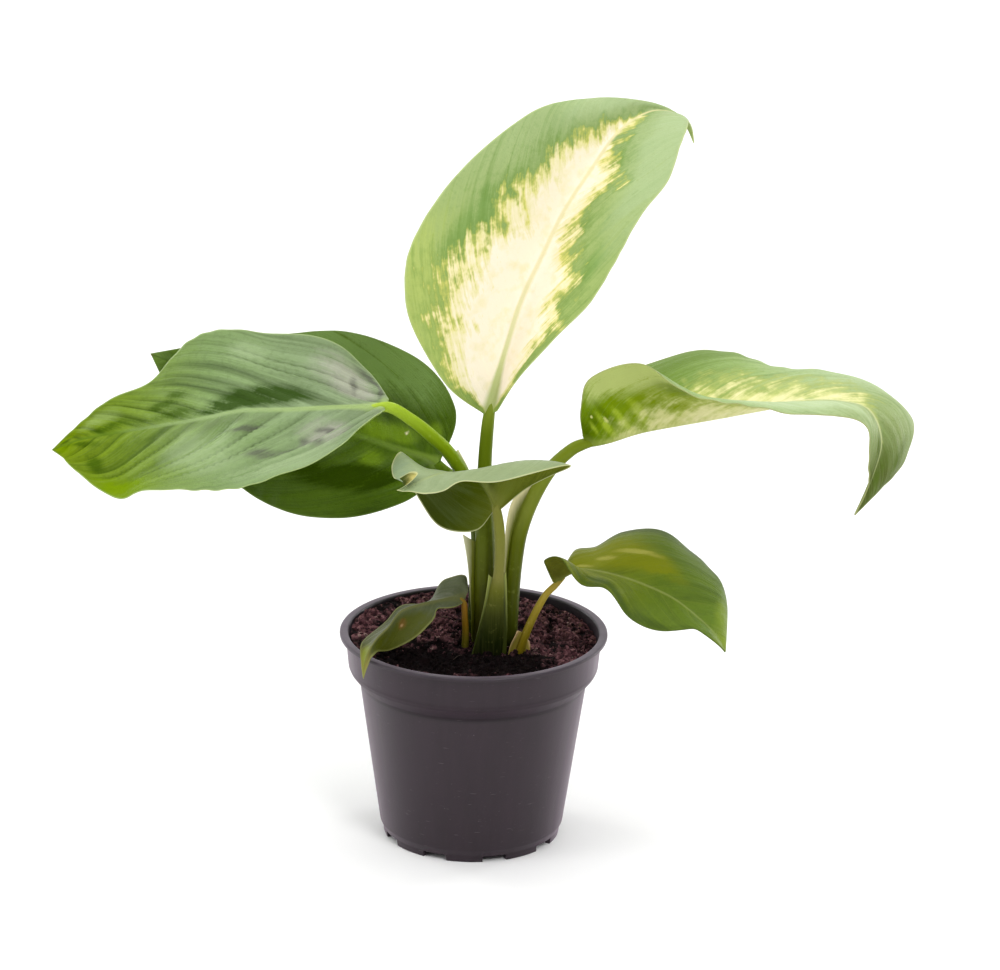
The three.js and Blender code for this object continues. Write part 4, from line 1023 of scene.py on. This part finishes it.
def polypropylene():
    """Nursery pot: moulded polypropylene with recycled pigment, a brown grey with a satin skin that
    mirrors a bright room only at a grazing angle, where its fine dust also shows as a pale lilac
    bloom, with faint flow marks, dust and a few scuffs."""
    made, new, finish = substance("polypropylene_moulded_pot")
    spot = new("TexCoord", out="Object")
    # Flow marks about 5 mm wide and 60 mm tall, dust of 0.5 mm, scuffs 0.4 mm wide and 5 mm long.
    flow = new("TexNoise", Vector=new("Mapping", Vector=spot, Scale=(180, 180, 16)), Scale=1.0, Detail=3.0)
    dust = new("TexNoise", Vector=spot, Scale=1300.0, Detail=2.0, Roughness=0.7)
    lean = new("Mapping", Vector=spot, Rotation=(0.5, 0.2, 0.3), Scale=(250, 250, 2200))
    scuff = new("TexNoise", Vector=lean, Scale=1.0, Detail=1.0)
    colour = new("ValToRGB", flow, stops=[(0.3, "#21161d"), (0.7, "#291d25")])
    colour = new("Mix", new("MapRange", dust, 0.70, 0.78, 0.0, 0.35), colour, "#6d6468")
    colour = new("Mix", new("MapRange", scuff, 0.74, 0.80, 0.0, 0.25), colour, "#7a7074")
    # The top of the rim, the last 0.6 mm, is painted a little paler: a painted highlight.
    high = new("SeparateXYZ", spot, out="Z")
    colour = new("Mix", new("MapRange", high, 0.0711, 0.0717, 0.0, 0.12), colour, "#827e8c")
    # Inside, above 61 mm, the wall is darkened by painted shade and loses its sheen. The distance from the
    # axis less a tenth of the height is 34.9 mm on the inner wall and 36 mm on the outer one.
    away = new("VectorMath.LENGTH", new("VectorMath.MULTIPLY", spot, (1, 1, 0)), out="Value")
    away = new("Math.MULTIPLY_ADD", high, -0.1, away)
    inside = new("MapRange", away, 0.0353, 0.0350, 0.0, 0.75)
    inside = new("Math.MULTIPLY", inside, new("Math.GREATER_THAN", high, 0.061))
    colour = new("Mix", inside, colour, "#0c070b")
    # The shoulder under the collar, 54 to 60 mm up, faces the floor and is darkened by painted shade,
    # darkest in the corner at 54 to 56 mm; it also mirrors less and has little dust, and the collar above it
    # is the dustiest.
    level = new("MapRange", high, 0.053, 0.0725)
    shoulder_shade = new("ValToRGB", level, stops=[(0.0, 0.0), (0.05, 0.42), (0.12, 0.36), (0.24, 0.0)])
    dusty = new("ValToRGB", level, stops=[(0.04, 0.33), (0.09, 0.12), (0.28, 0.14), (0.42, 0.38)])
    finish({
        "Base Color": new("Mix", shoulder_shade, colour, "#080507"), "IOR": 1.49,
        "Roughness": new("MapRange", flow, 0.3, 0.7, 0.40, 0.50),
        "Specular IOR Level": new("ValToRGB", level, stops=[
            (0.04, 0.32), (0.09, 0.12), (0.28, 0.12), (0.42, 0.29), (0.86, 0.29), (0.92, 0.36)]),
        "Sheen Weight": new("Math.MULTIPLY", dusty, new("Math.SUBTRACT", 1.0, inside)),
        "Sheen Roughness": 0.4, "Sheen Tint": "#e8cee6",
        "Normal": new("Bump", Height=dust, Strength=0.12, Distance=0.0002),
    })
    return made


moulded_pot(polypropylene())


# Studio: pale floor, soft light and the photograph's camera

# Each soft light's place and size in metres and its power in watts.
LIGHTS = (
    ("key_softbox", (0.65, -1.15, 1.15), 0.6, 0.6, 12.0),
    ("ceiling_softbox", (-0.2, 0.4, 2.6), 4.5, 4.5, 92.0),
    ("backdrop_light", (0.0, 2.8, 0.9), 4.5, 1.7, 22.0),
    ("left_softbox", (-1.3, -0.5, 0.7), 0.7, 0.9, 6.0),
    ("left_edge_strip", (-1.05, 0.75, 0.3), 0.4, 1.0, 6.5),
    ("right_edge_strip", (1.05, 0.75, 0.3), 0.4, 1.0, 8.0),
)
PLANT_MIDDLE = Vector((0, 0, 0.12))


def studio():
    """Pale floor 8 m across, a broad ceiling light, a lit backdrop, four soft lights round the plant
    and a pale room."""
    mesh = bpy.data.meshes.new("floor")
    mesh.from_pydata([(-4, -4, 0), (4, -4, 0), (4, 4, 0), (-4, 4, 0)], [], [(0, 1, 2, 3)])
    paper, new, finish = substance("white_studio_paper")
    # Paper: dull and even, its pulp clouded over 0.3 m.
    pulp = new("TexNoise", Vector=new("TexCoord", out="Object"), Scale=3.0)
    tone = new("ValToRGB", pulp, stops=[(0.3, "#f6f6f6"), (0.7, "#fafafa")])
    finish({"Base Color": tone, "Roughness": 0.9})
    mesh.materials.append(paper)
    place("floor", mesh)
    world = bpy.data.worlds.new("pale_room")
    world.use_nodes = True
    fill(world.node_tree.nodes["Background"], {"Color": "#ffffff", "Strength": 0.27})
    bpy.context.scene.world = world
    for name, where, width, height, watts in LIGHTS:
        light = bpy.data.lights.new(name, "AREA")
        light.shape = "RECTANGLE"
        light.size = width
        light.size_y = height
        light.energy = watts
        lamp = place(name, light)
        lamp.location = where
        lamp.rotation_euler = (PLANT_MIDDLE - Vector(where)).to_track_quat("-Z", "Y").to_euler()


def photo_camera():
    """Camera 1.6 m from the aim point, 19.1 degrees above the horizon, rolled by 0.85 degrees."""
    lift = math.radians(19.1)
    aim = Vector((8.1, 0, 123.6)) * MM
    back = Vector((0, -math.cos(lift), math.sin(lift)))
    data = bpy.data.cameras.new("photo_camera")
    data.sensor_width = 36.0
    data.lens = 173.34
    data.clip_start, data.clip_end = 0.05, 20.0
    camera = place("photo_camera", data)
    turn = (-back).to_track_quat("-Z", "Y").to_matrix() @ Matrix.Rotation(math.radians(0.85), 3, "Z")
    camera.matrix_world = Matrix.Translation(aim + back * 1.6) @ turn.to_4x4()
    bpy.context.scene.camera = camera


studio()
photo_camera()
bpy.context.scene.view_settings.view_transform = "Standard"
